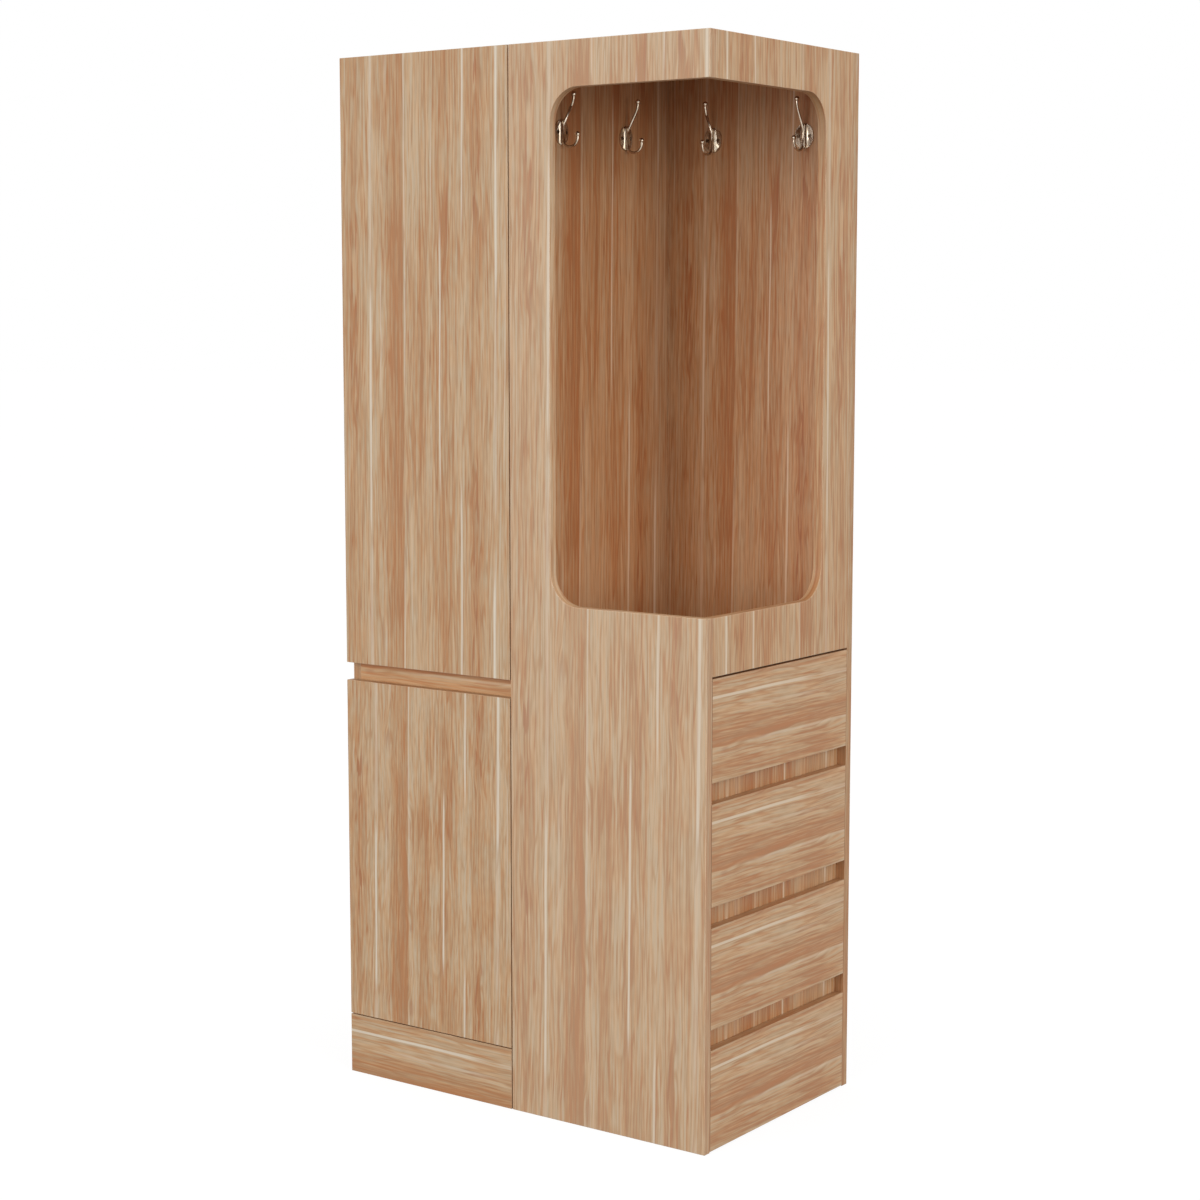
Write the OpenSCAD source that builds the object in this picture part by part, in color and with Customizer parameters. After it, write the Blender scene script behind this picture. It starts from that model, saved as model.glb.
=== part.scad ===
// Tall wardrobe: a cupboard column with a long upper door and a short lower door,
// beside a corner unit with an open coat niche above four side drawers.
// The origin is the middle of the base. The doors face -Y, the drawers face +X.

/* [Overall] */
// Height of the wardrobe
total_h = 2000; // [1940:10:2100]
// Width across the front
total_w = 850; // [800:10:950]
// Depth from the front face to the back face
total_d = 510; // [470:10:600]
// Thickness of the boards
board_t = 18; // [17:0.5:20]

/* [Doors] */
// Width of the corner unit, which leaves the rest of the front for the doors
corner_w = 440; // [430:5:500]
// Gap between the doors and the corner unit
door_seam = 2; // [1:0.5:4]
// Gap between the back of a door and the edges of the carcass
door_gap = 2.5; // [2.5:0.1:4]
// Height of the plinth
plinth_h = 118; // [80:2:160]
// Gap between the plinth and the lower door
plinth_gap = 2; // [1:0.5:4]
// Height of the lower door
lower_door_h = 676; // [600:2:760]
// Height of the finger gap between the two doors
finger_h = 35; // [25:1:50]
// Reach of the middle rail behind each door
rail_lap = 14; // [12:1:30]
// Diameter of a door bumper
bumper_d = 8; // [6:1:10]

/* [Corner niche] */
// Width of the stile between the doors and the mouth
stile_w = 94; // [60:2:130]
// Height of the mouth's lower edge above the floor
sill_z = 979; // [960:1:1060]
// Height of the band over the mouth
band_h = 83; // [60:1:120]
// Width of the stile behind the mouth, with the back panel's edge
rear_stile_w = 119; // [80:1:160]
// Radius of the mouth's corners
mouth_r = 62; // [30:1:90]

/* [Drawers] */
// Height of a drawer front
front_h = 188; // [178:1:192]
// Height of the finger groove between two drawer fronts
groove_h = 38.5; // [32:0.5:42]
// Gap between the lowest drawer front and the floor
floor_gap = 2; // [1:0.5:5]
// Gap between the top drawer front and the side panel
bank_gap = 3.5; // [2:0.5:6]
// Gap at each end of a drawer front
front_gap = 1; // [0.5:0.25:3]
// Gap between the drawer fronts and the rails behind the grooves
rail_gap = 1; // [0.5:0.5:3]
// Reach of a rail behind the drawer fronts above and below its groove
groove_lap = 12; // [8:1:15]
// Clearance between a drawer box and the rail above it
box_head = 14; // [6:1:40]
// Clearance between a drawer box and the rail below it
box_foot = 10; // [7:0.5:14]
// Space between a drawer box and the partition behind it
box_back_gap = 24; // [10:1:26]
// Thickness of a drawer's sides and end
box_t = 12; // [10:1:15]
// Thickness of a drawer's bottom
bottom_t = 4; // [3:0.5:6]
// Height of the bottom above the lower edge of the box
bottom_rise = 10; // [8:1:14]
// Depth of the groove that holds the bottom
bottom_inset = 6; // [4:0.5:8]

/* [Drawer runners] */
// Distance of a runner behind its drawer front
runner_set = 17; // [10:1:40]
// Distance of a runner's far end from the end of the drawer box
runner_back = 13; // [5:1:60]
// Height of the channel that is fixed to the carcass
runner_h = 35; // [27:1:45]
// Space that a runner takes between the carcass and the drawer box
runner_space = 13; // [12.5:0.5:15]
// Thickness of the runner's steel
runner_t = 1.5; // [1:0.1:2]
// Running clearance of the slide in its channel
runner_slip = 0.3; // [0.3:0.05:0.6]

/* [Cupboard fittings] */
// Thickness of the cupboard's back
thin_back_t = 5; // [3:0.5:6]
// Depth of the grooves that hold the cupboard's back
back_inset = 4; // [3:0.5:4]
// Height of the loose shelf above the cupboard floor
loose_shelf_rise = 318; // [200:2:420]
// Distance of the loose shelf's front edge behind the carcass edge
loose_shelf_set = 40; // [20:5:80]
// Diameter of a shelf pin
shelf_pin_d = 5; // [4:0.5:6]
// Height between the rows of shelf pin holes
pin_row = 48; // [32:1:64]
// Distance of the hanging rail's axis below the top
hang_drop = 100; // [80:5:160]
// Diameter of the hanging rail
hang_d = 25; // [20:1:30]
// Wall of the hanging rail
hang_wall = 1.2; // [1:0.1:2]
// Depth of the blocks behind the plinth
block_l = 45; // [30:5:60]

/* [Hinges] */
// Diameter of a hinge cup
cup_d = 35; // [35:1:36]
// Depth of a hinge cup
cup_depth = 13; // [12.9:0.1:13.5]
// Distance of the cup's rim from the door's edge
cup_edge = 3; // [2.8:0.1:3.1]
// Steel thickness of the cup
cup_wall = 0.8; // [0.6:0.1:0.8]
// Distance of the hinge pin from the door's edge
pin_in = 6.8; // [6.7:0.1:6.9]
// Distance of the hinge pin in front of the door's back face
pin_deep = 9.5; // [9.4:0.1:9.7]
// Diameter of the hinge pin
pin_d = 2; // [1.6:0.1:2.2]
// Thickness of the hinge arm's neck
arm_t = 2.5; // [2:0.1:2.8]
// Width of the hinge arm's neck
neck_w = 7; // [6:0.5:7]
// Distance of the outer hinges from a door's ends
hinge_end = 96; // [80:2:140]

/* [Coat hooks] */
// Distance of the hooks' plates below the top
hook_drop = 150; // [140:5:200]
// Distance between the two hooks of a wall
hook_pitch = 208; // [180:2:240]
// Distance of the partition's pair in front of the middle of the niche
hook_shift = 15; // [0:1:30]
// Distance of the back wall's pair to the right of the middle of the niche
hook_back_shift = 9; // [0:1:20]
// Width of a hook's plate
hook_plate_w = 40; // [34:1:44]
// Height of a hook's plate
hook_plate_h = 47; // [45:1:54]
// Diameter of a hook's arms
hook_rod_d = 5; // [4:0.5:7]
// Reach of the lower arm from the wall
hook_low_reach = 39; // [34:1:46]
// Height of the upper arm's ball above the plate's middle
hook_high_rise = 69; // [62:1:80]
// Distance between the two screws of a hook
hook_screw_pitch = 25; // [23:1:28]

/* [Hidden] */

$fn = 48;
cut = 1;
slip = 0.15;
drawer_count = 4;

oak = [0.80, 0.63, 0.47];
oak_dark = [0.72, 0.53, 0.37];
box_wood = [0.86, 0.78, 0.66];
steel = [0.70, 0.71, 0.72];
nickel = [0.66, 0.60, 0.52];
rubber = [0.85, 0.85, 0.83];
beech = [0.82, 0.68, 0.50];

// Outer faces
x_l = -total_w / 2;
x_r = total_w / 2;
y_f = -total_d / 2;
y_b = total_d / 2;

// Inner faces: the front panel's back, the back panel's front, the side panels' insides
y_fi = y_f + board_t;
y_bi = y_b - board_t;
x_li = x_l + board_t;
x_ri = x_r - board_t;

// The partition stands flush with the corner unit's front panel
part_x0 = x_r - corner_w;
part_x1 = part_x0 + board_t;

// Cupboard column
y_c = y_fi + door_gap;
door_w = total_w - corner_w - door_seam;
back_y0 = (y_bi + y_b - thin_back_t) / 2;
lower_door_z = plinth_h + plinth_gap;
lower_door_top = lower_door_z + lower_door_h;
upper_door_z = lower_door_top + finger_h;
top_z = total_h - board_t;
fixed_shelf_z = lower_door_top + (finger_h - board_t) / 2;
bumper_in = 12;
bumper_slip = 0.3;
cabinet_zs = [top_z, fixed_shelf_z, plinth_h];

// Drawer bank
pitch = front_h + groove_h;
bank_top = floor_gap + drawer_count * front_h + (drawer_count - 1) * groove_h + bank_gap;
function front_z(n) = floor_gap + (drawer_count - n) * pitch;
rail_x = x_ri - rail_gap - board_t;
rail_h = groove_h + 2 * groove_lap;
function rail_z(n) = front_z(n) - groove_h - groove_lap;
box_y = y_bi - runner_space;
box_x0 = part_x1 + box_back_gap;
box_h = front_h - 2 * groove_lap - box_foot - box_head;
function box_z(n) = front_z(n) + groove_lap + box_foot;
runner_x = box_x0 + runner_back;
runner_l = x_ri - runner_set - runner_x;
channel_gap = 2;
channel_d = runner_space - channel_gap;
slide_h = runner_h - 2 * runner_t - 2 * runner_slip;
slide_d = channel_d - runner_t;
function runner_z(n) = box_z(n) + box_h / 2;
corner_zs = [top_z, bank_top, 0];

// Mouth of the niche
mouth_x = part_x0 + stile_w;
mouth_y = y_b - rear_stile_w;
mouth_top = total_h - band_h;

// Cam joints and dowels
cam_r = 7.5;
cam_h = 12.5;
cam_set = 24;
bolt_r = 3.4;
bolt_thread_r = 2.5;
bolt_thread_l = 11;
dowel_r = 4;
dowel_in = 10;
dowel_out = 20;
dowel_slip = 0.05;
dowel_step = 32;
cab_cam_in = 60;
corner_cam_in = 40;
cab_cam_y = [y_c + cab_cam_in, back_y0 - cab_cam_in];
cab_dowel_y = [cab_cam_y[0] + dowel_step, cab_cam_y[1] - dowel_step];
corner_cam_y = [y_fi + corner_cam_in, y_bi - corner_cam_in];
corner_dowel_y = [corner_cam_y[0] + dowel_step, corner_cam_y[1] - dowel_step];

// Dowels along Y, as [x, z], that hold the corner unit's front and back panels
board_dowel_in = 60;
corner_board_x = [part_x1 + board_dowel_in, x_ri - board_dowel_in];
part_dowels = [for (i = [0:4]) [part_x0 + board_t / 2, total_h * (0.07 + 0.2 * i)]];
board_dowels = [for (z = corner_zs, x = corner_board_x) [x, z + board_t / 2]];
rail_dowels = [for (n = [1:drawer_count - 1]) [rail_x + board_t / 2, rail_z(n) + rail_h / 2]];
side_dowels_ends = [for (z = [mouth_top + band_h / 2, (bank_top + sill_z) / 2])
  [x_ri + board_t / 2, z]];
side_dowels_rear = [for (i = [1:3])
  [x_ri + board_t / 2, sill_z + (mouth_top - sill_z) * i / 4]];
front_dowels = concat(part_dowels, board_dowels, rail_dowels, side_dowels_ends);
rear_dowels = concat(front_dowels, side_dowels_rear);

// Hinges: the carcass side sits on the left side panel's inner face
cup_r = cup_d / 2;
cup_slip = 0.1;
cup_x = cup_edge + cup_r;
cup_flange_t = 1.2;
cup_plug_r = 5;
cup_plug_l = 11;
cup_plug_z = 22;
cup_plug_set = 5;
cup_plug_x = cup_x + cup_plug_set;
cup_plug_rim = 2;
ear_t = 1.8;
ear_gap = 0.4;
ear_rim = 0.7;
pin_slip = 0.05;
eye_r = 2.3;
plate_t = 2;
plate_set = 37;
plate_w = 14;
plate_rim = 8;
plate_start = 17;
arm_w = 14;
arm_h = 7;
arm_l = 60;
arm_set = 2;
arm_lap = 1;
leg_gap = 3;
leg_x = board_t + leg_gap;
hinge_screw_r = 3;
hinge_screw_l = 11;
hinge_screw_z = 16;
upper_hinge_z = [for (f = [0, 0.5, 1])
  upper_door_z + hinge_end + f * (total_h - upper_door_z - 2 * hinge_end)];
lower_hinge_z = [lower_door_z + hinge_end, lower_door_top - hinge_end];
hinge_zs = concat(upper_hinge_z, lower_hinge_z);

// Loose shelf and its pins
loose_shelf_z = plinth_h + board_t + loose_shelf_rise;
shelf_pin_z = loose_shelf_z - shelf_pin_d / 2;
shelf_pin_in = 8;
shelf_pin_out = 12;
shelf_pin_set = 45;
shelf_pin_y = [y_c + loose_shelf_set + shelf_pin_set, back_y0 - shelf_pin_set];
shelf_end_gap = 1;

// Hanging rail
hang_y = (y_c + back_y0) / 2;
hang_z = total_h - hang_drop;
flange_t = 3;
flange_rim = 9.5;
flange_r = hang_d / 2 + flange_rim;
collar_l = 12;
collar_wall = 2;

// Coat hooks
hook_z = total_h - hook_drop;
hook_plate_t = 3;
rib_w = 11;
rib_t = 8;
rod_r = hook_rod_d / 2;
rod_swell = 0.3;
bend_lap = 3;
low_bend_drop = 10;
low_tip_lap = 1;
high_foot_rise = 10;
elbow_reach = 25;
elbow_drop = 21;
high_ball_lap = 3;
hook_screw_r = 1.7;
hook_screw_l = 15;
low_ball_r = 4.5;
high_ball_r = 4.8;
niche_mid_x = (part_x1 + x_ri) / 2;
niche_mid_y = (y_fi + y_bi) / 2;
part_hook_y = [for (s = [-1, 1]) niche_mid_y - hook_shift + s * hook_pitch / 2];
back_hook_x = [for (s = [-1, 1]) niche_mid_x + hook_back_shift + s * hook_pitch / 2];

// Places a child at a wall hook: X becomes the direction away from the wall
module at_hook(n) {
  if (n <= 2) translate([part_x1, part_hook_y[n - 1], hook_z]) children();
  else translate([back_hook_x[n - 3], y_bi, hook_z]) rotate([0, 0, -90]) children();
}

// A board from its low corner to its high corner
module board(lo, hi) {
  translate(lo) cube(hi - lo);
}

// A round bar along X or Y, from one place to another
module bar_x(r, x0, x1, y, z) {
  translate([min(x0, x1), y, z]) rotate([0, 90, 0]) cylinder(r = r, h = abs(x1 - x0));
}

module bar_y(r, y0, y1, x, z) {
  translate([x, min(y0, y1), z]) rotate([-90, 0, 0]) cylinder(r = r, h = abs(y1 - y0));
}

// Holes in the end of a level board that meets the face at x, and in that face.
// dir points from the face into the board.
module end_bores(x, dir, z, cam_y, dowel_y) {
  zm = z + board_t / 2;
  for (y = cam_y) {
    bar_x(bolt_r + slip, x, x + dir * cam_set, y, zm);
    translate([x + dir * cam_set, y, z - cut]) cylinder(r = cam_r + slip, h = cam_h + slip + cut);
  }
  for (y = dowel_y) bar_x(dowel_r, x, x + dir * (dowel_out + slip), y, zm);
}

module face_bores(x, dir, z, cam_y, dowel_y) {
  zm = z + board_t / 2;
  for (y = cam_y)
    bar_x(bolt_thread_r + slip, x + dir * cut, x - dir * (bolt_thread_l + slip), y, zm);
  for (y = dowel_y) bar_x(dowel_r, x + dir * cut, x - dir * (dowel_in + slip), y, zm);
}

// Dowel holes across the joint at y: dir points from the upright panel into the boards
module y_bores(points, y, dir) {
  for (p = points)
    bar_y(dowel_r, y - dir * (dowel_in + slip), y + dir * (dowel_out + slip), p[0], p[1]);
}

module cupboard_face_bores(x, dir) {
  for (z = cabinet_zs) face_bores(x, dir, z, cab_cam_y, cab_dowel_y);
}

module shelf_pin_bores(x, dir) {
  for (y = shelf_pin_y, row = [-1:1])
    bar_x(shelf_pin_d / 2 + dowel_slip, x + dir * cut, x - dir * (shelf_pin_in + slip),
      y, shelf_pin_z + row * pin_row);
}

module hook_wall_bores(n) {
  at_hook(n) for (s = [-1, 1])
    bar_x(hook_screw_r + slip, cut, hook_plate_t - hook_screw_l - slip,
      s * hook_screw_pitch / 2, 0);
}

// The rounded mouth, as an outline that runs from its closed side past the corner
module mouth_outline(closed, open) {
  w = open - closed;
  translate([closed + mouth_r, sill_z]) square([w - mouth_r, mouth_top - sill_z]);
  translate([closed, sill_z + mouth_r]) square([w, mouth_top - sill_z - 2 * mouth_r]);
  for (z = [sill_z + mouth_r, mouth_top - mouth_r])
    translate([closed + mouth_r, z]) circle(r = mouth_r);
}

module left_side_panel() {
  color(oak) difference() {
    board([x_l, y_c, 0], [x_li, y_b, total_h]);
    cupboard_face_bores(x_li, 1);
    shelf_pin_bores(x_li, 1);
    for (z = hinge_zs, s = [-1, 1])
      bar_x(hinge_screw_r + slip, x_li + cut, x_li - hinge_screw_l - slip,
        y_c + plate_set, z + s * hinge_screw_z);
    board([x_li - back_inset, back_y0 - slip, plinth_h - slip],
      [x_li + cut, back_y0 + thin_back_t + slip, total_h + cut]);
  }
}

module partition_panel() {
  color(oak_dark) difference() {
    board([part_x0, y_fi, 0], [part_x1, y_bi, total_h]);
    cupboard_face_bores(part_x0, -1);
    shelf_pin_bores(part_x0, -1);
    for (z = corner_zs) face_bores(part_x1, 1, z, corner_cam_y, corner_dowel_y);
    y_bores(part_dowels, y_fi, 1);
    y_bores(part_dowels, y_bi, -1);
    for (n = [1, 2]) hook_wall_bores(n);
  }
}

module cupboard_board(z) {
  y0 = z == fixed_shelf_z ? y_c + board_t : y_c;
  difference() {
    board([x_li, y0, z], [part_x0, back_y0, z + board_t]);
    end_bores(x_li, 1, z, cab_cam_y, cab_dowel_y);
    end_bores(part_x0, -1, z, cab_cam_y, cab_dowel_y);
  }
}

module cabinet_top() {
  color(oak) cupboard_board(top_z);
}

module cabinet_floor() {
  color(oak) cupboard_board(plinth_h);
}

module fixed_shelf() {
  color(oak) cupboard_board(fixed_shelf_z);
}

module middle_rail() {
  color(oak) board([x_li, y_c, lower_door_top - rail_lap],
    [part_x0, y_c + board_t, upper_door_z + rail_lap]);
}

module plinth() {
  color(oak) board([x_l, y_f, 0], [x_l + door_w, y_fi, plinth_h]);
}

module plinth_blocks() {
  color(beech) for (x = [x_li, part_x0 - board_t])
    board([x, y_fi, 0], [x + board_t, y_fi + block_l, plinth_h]);
}

module loose_shelf() {
  color(oak) board([x_li + shelf_end_gap, y_c + loose_shelf_set, loose_shelf_z],
    [part_x0 - shelf_end_gap, back_y0 - shelf_end_gap, loose_shelf_z + board_t]);
}

module shelf_pins() {
  color(steel) for (y = shelf_pin_y) {
    bar_x(shelf_pin_d / 2, x_li - shelf_pin_in, x_li + shelf_pin_out, y, shelf_pin_z);
    bar_x(shelf_pin_d / 2, part_x0 - shelf_pin_out, part_x0 + shelf_pin_in, y, shelf_pin_z);
  }
}

module hanging_rail() {
  inset = flange_t + slip;
  color(steel) difference() {
    bar_x(hang_d / 2, x_li + inset, part_x0 - inset, hang_y, hang_z);
    bar_x(hang_d / 2 - hang_wall, x_li, part_x0, hang_y, hang_z);
  }
}

module hanging_rail_flanges() {
  color(steel) for (e = [[x_li, 1], [part_x0, -1]]) difference() {
    union() {
      bar_x(flange_r, e[0], e[0] + e[1] * flange_t, hang_y, hang_z);
      bar_x(hang_d / 2 + collar_wall, e[0], e[0] + e[1] * (flange_t + collar_l), hang_y, hang_z);
    }
    bar_x(hang_d / 2 + slip, e[0] + e[1] * flange_t, e[0] + e[1] * (flange_t + collar_l + cut),
      hang_y, hang_z);
  }
}

module cabinet_back() {
  reach = back_inset - 2 * slip;
  color(box_wood) board([x_li - reach, back_y0, plinth_h],
    [part_x0 + reach, back_y0 + thin_back_t, total_h]);
}

module front_panel() {
  color(oak) difference() {
    board([part_x0, y_f, 0], [x_r, y_fi, total_h]);
    translate([0, y_fi + cut, 0]) rotate([90, 0, 0]) linear_extrude(height = board_t + 2 * cut)
      mouth_outline(mouth_x, x_r + cut);
    y_bores(front_dowels, y_fi, 1);
  }
}

module corner_side_panel() {
  color(oak_dark) difference() {
    board([x_ri, y_fi, bank_top], [x_r, y_bi, total_h]);
    translate([x_ri - cut, 0, 0]) rotate([90, 0, 90]) linear_extrude(height = board_t + 2 * cut)
      mirror([1, 0]) mouth_outline(-mouth_y, -y_fi + cut);
    for (z = [top_z, bank_top]) face_bores(x_ri, -1, z, corner_cam_y, corner_dowel_y);
    y_bores(side_dowels_ends, y_fi, 1);
    y_bores(concat(side_dowels_ends, side_dowels_rear), y_bi, -1);
  }
}

module back_panel() {
  color(oak_dark) difference() {
    board([part_x0, y_bi, 0], [x_r, y_b, total_h]);
    y_bores(rear_dowels, y_bi, -1);
    for (n = [3, 4]) hook_wall_bores(n);
    board([part_x0 - cut, back_y0 - slip, plinth_h - slip],
      [part_x0 + back_inset, back_y0 + thin_back_t + slip, total_h + cut]);
  }
}

module corner_board(z, x1) {
  difference() {
    board([part_x1, y_fi, z], [x1, y_bi, z + board_t]);
    end_bores(part_x1, 1, z, corner_cam_y, corner_dowel_y);
    if (x1 == x_ri) end_bores(x_ri, -1, z, corner_cam_y, corner_dowel_y);
    y_bores(board_dowels, y_fi, 1);
    y_bores(board_dowels, y_bi, -1);
  }
}

module niche_top() {
  color(oak) corner_board(top_z, x_ri);
}

module niche_floor() {
  color(oak_dark) corner_board(bank_top, x_ri);
}

module base_panel() {
  color(oak) corner_board(0, x_ri - rail_gap);
}

module drawer_rails() {
  color(oak_dark) for (n = [1:drawer_count - 1]) difference() {
    board([rail_x, y_fi, rail_z(n)], [rail_x + board_t, y_bi, rail_z(n) + rail_h]);
    y_bores(rail_dowels, y_fi, 1);
    y_bores(rail_dowels, y_bi, -1);
  }
}

// A bent rod in the XZ plane, round the point at mid, from one angle to another
module hook_bend(mid, bend_r, from, to) {
  translate([mid[0], 0, mid[1]]) rotate([90, 0, 0]) rotate([0, 0, from])
    rotate_extrude(angle = to - from) translate([bend_r, 0]) circle(r = rod_r);
}

// A plate of the given thickness with round ends, on the wall
module hook_disc(w, h, t) {
  rotate([90, 0, 90]) linear_extrude(height = t) {
    for (s = [-1, 1]) translate([0, s * (h - w) / 2]) circle(r = w / 2);
    square([w, h - w], center = true);
  }
}

// A double coat hook that grows from its wall along X: a long arm up and out, a short one below
module coat_hook(n) {
  low_r = (hook_low_reach - rib_t / 2) / 2;
  low_mid = [hook_low_reach - low_r, -low_bend_drop];
  foot = [rib_t / 2, high_foot_rise];
  elbow = [elbow_reach, hook_high_rise - elbow_drop];
  lean = atan2(elbow[1] - foot[1], elbow[0] - foot[0]);
  high_r = (elbow_drop - high_ball_lap) / cos(lean);
  high_mid = elbow + high_r * [-sin(lean), cos(lean)];
  color(nickel) at_hook(n) difference() {
    union() {
      hook_disc(hook_plate_w, hook_plate_h, hook_plate_t);
      hook_disc(rib_w, hook_plate_h, rib_t);
      hook_bend(low_mid, low_r, 180, 360 + bend_lap);
      translate([hook_low_reach, 0, low_mid[1] - low_tip_lap])
        cylinder(r = rod_r + rod_swell, h = low_tip_lap - low_mid[1] - low_ball_r);
      translate([hook_low_reach, 0, -low_ball_r]) sphere(r = low_ball_r);
      translate([foot[0], 0, foot[1]]) rotate([0, 90 - lean, 0])
        cylinder(r = rod_r + rod_swell, h = norm(elbow - foot));
      hook_bend(high_mid, high_r, lean - 90 - bend_lap, 0);
      translate([high_mid[0] + high_r, 0, hook_high_rise]) sphere(r = high_ball_r);
    }
    for (s = [-1, 1])
      bar_x(hook_screw_r + slip, -cut, hook_plate_t + cut, s * hook_screw_pitch / 2, 0);
  }
}

module hook_screws() {
  head_r = 3.2;
  head_t = 1.5;
  color(steel) for (n = [1:4]) at_hook(n) for (s = [-1, 1]) {
    bar_x(hook_screw_r, hook_plate_t - hook_screw_l, hook_plate_t, s * hook_screw_pitch / 2, 0);
    bar_x(head_r, hook_plate_t, hook_plate_t + head_t, s * hook_screw_pitch / 2, 0);
  }
}

// Section of a runner's channel: its web lies at zero and its flanges point away from it
module channel(depth, height) {
  rotate([90, 0, 90]) linear_extrude(height = runner_l) difference() {
    translate([0, -height / 2]) square([depth, height]);
    translate([runner_t, -height / 2 + runner_t]) square([depth, height - 2 * runner_t]);
  }
}

module runner_channels() {
  color(steel) for (n = [1:drawer_count]) {
    translate([runner_x, y_fi, runner_z(n)]) channel(channel_d, runner_h);
    translate([runner_x, y_bi, runner_z(n)]) mirror([0, 1, 0]) channel(channel_d, runner_h);
  }
}

module drawer_slides(n) {
  color(steel) {
    translate([runner_x, box_y, runner_z(n)]) channel(slide_d, slide_h);
    translate([runner_x, -box_y, runner_z(n)]) mirror([0, 1, 0]) channel(slide_d, slide_h);
  }
}

module drawer_front(n) {
  z = front_z(n);
  floor_z = box_z(n) + bottom_rise;
  color(oak) difference() {
    board([x_ri, y_fi + front_gap, z], [x_r, y_bi - front_gap, z + front_h]);
    board([x_ri - cut, -box_y + box_t - bottom_inset, floor_z - slip],
      [x_ri + bottom_inset, box_y - box_t + bottom_inset, floor_z + bottom_t + slip]);
  }
}

module drawer_sides(n) {
  z = box_z(n);
  color(box_wood) difference() {
    for (y = [-box_y, box_y - box_t])
      board([box_x0, y, z], [x_ri, y + box_t, z + box_h]);
    board([box_x0 - cut, -box_y + box_t - bottom_inset, z + bottom_rise - slip],
      [x_ri + cut, box_y - box_t + bottom_inset, z + bottom_rise + bottom_t + slip]);
  }
}

module drawer_end(n) {
  z = box_z(n);
  color(box_wood) board([box_x0, -box_y + box_t, z + bottom_rise + bottom_t],
    [box_x0 + box_t, box_y - box_t, z + box_h]);
}

module drawer_bottom(n) {
  z = box_z(n) + bottom_rise;
  reach = bottom_inset - 2 * slip;
  color(box_wood) board([box_x0, -box_y + box_t - reach, z],
    [x_ri + reach, box_y - box_t + reach, z + bottom_t]);
}

// Places a child at each hinge: X runs from the door's edge, Y from the door's back face
module at_hinges(zs) {
  for (z = zs) translate([x_l, y_fi, z]) children();
}

module hinge_arms() {
  color(steel) at_hinges(hinge_zs) difference() {
    union() {
      translate([pin_in, -pin_deep, -neck_w / 2]) cylinder(r = eye_r, h = neck_w);
      board([pin_in, -pin_deep - arm_t / 2, -neck_w / 2],
        [leg_x + arm_t / 2, -pin_deep + arm_t / 2, neck_w / 2]);
      board([leg_x - arm_t / 2, -pin_deep - arm_t / 2, -neck_w / 2],
        [leg_x + arm_t / 2, door_gap + arm_set + arm_lap, neck_w / 2]);
      board([board_t + plate_t, door_gap + arm_set, -arm_w / 2],
        [board_t + plate_t + arm_h, door_gap + arm_set + arm_l, arm_w / 2]);
    }
    translate([pin_in, -pin_deep, -neck_w]) cylinder(r = pin_d / 2, h = 2 * neck_w);
  }
}

module hinge_plates() {
  color(steel) at_hinges(hinge_zs) difference() {
    union() {
      board([board_t, door_gap + plate_start, -arm_w / 2],
        [board_t + plate_t, door_gap + arm_l, arm_w / 2]);
      board([board_t, door_gap + plate_set - plate_w / 2, -hinge_screw_z - plate_rim],
        [board_t + plate_t, door_gap + plate_set + plate_w / 2, hinge_screw_z + plate_rim]);
    }
    for (s = [-1, 1])
      bar_x(hinge_screw_r + slip, board_t - cut, board_t + plate_t + cut,
        door_gap + plate_set, s * hinge_screw_z);
  }
}

module hinge_screws() {
  head_r = 4.5;
  head_t = 2;
  color(steel) at_hinges(hinge_zs) for (s = [-1, 1]) {
    bar_x(hinge_screw_r, board_t - hinge_screw_l, board_t + plate_t,
      door_gap + plate_set, s * hinge_screw_z);
    bar_x(head_r, board_t + plate_t, board_t + plate_t + head_t,
      door_gap + plate_set, s * hinge_screw_z);
  }
}

module hinge_pins() {
  reach = neck_w / 2 + ear_gap + ear_t;
  color(steel) at_hinges(hinge_zs)
    translate([pin_in, -pin_deep, -reach]) cylinder(r = pin_d / 2, h = 2 * reach);
}

// A cup with two ears for the pin, a flange on the door's back and two press-in plugs
module hinge_cup() {
  inner_r = cup_r - cup_slip - cup_wall;
  ear_z = neck_w / 2 + ear_gap;
  ear_top = eye_r + ear_rim;
  pad_r = cup_plug_r + cup_plug_rim;
  difference() {
    union() {
      bar_y(cup_r - cup_slip, -cup_depth, 0, cup_x, 0);
      translate([cup_plug_x, 0, 0]) rotate([-90, 0, 0]) linear_extrude(height = cup_flange_t) {
        for (s = [-1, 1]) translate([0, s * cup_plug_z]) circle(r = pad_r);
        square([2 * pad_r, 2 * cup_plug_z], center = true);
      }
      for (s = [-1, 1]) bar_y(cup_plug_r, -cup_plug_l, 0, cup_plug_x, s * cup_plug_z);
    }
    difference() {
      bar_y(inner_r, -cup_depth + cup_wall, cup_flange_t + cut, cup_x, 0);
      for (z = [-ear_z - ear_t, ear_z])
        board([cup_edge, -cup_depth, z], [pin_in + ear_top, -pin_deep + ear_top, z + ear_t]);
    }
    translate([pin_in, -pin_deep, -ear_z - ear_t])
      cylinder(r = pin_d / 2 + pin_slip, h = 2 * (ear_z + ear_t));
  }
}

module door(z0, z1, zs) {
  difference() {
    board([x_l, y_f, z0], [x_l + door_w, y_fi, z1]);
    at_hinges(zs) {
      bar_y(cup_r, -cup_depth, cut, cup_x, 0);
      for (s = [-1, 1])
        bar_y(cup_plug_r + dowel_slip, -cup_plug_l - slip, cut, cup_plug_x, s * cup_plug_z);
    }
  }
}

module upper_door() {
  color(oak) door(upper_door_z, total_h, upper_hinge_z);
}

module lower_door() {
  color(oak) door(lower_door_z, lower_door_top, lower_hinge_z);
}

module upper_hinge_cups() {
  color(steel) at_hinges(upper_hinge_z) hinge_cup();
}

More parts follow.
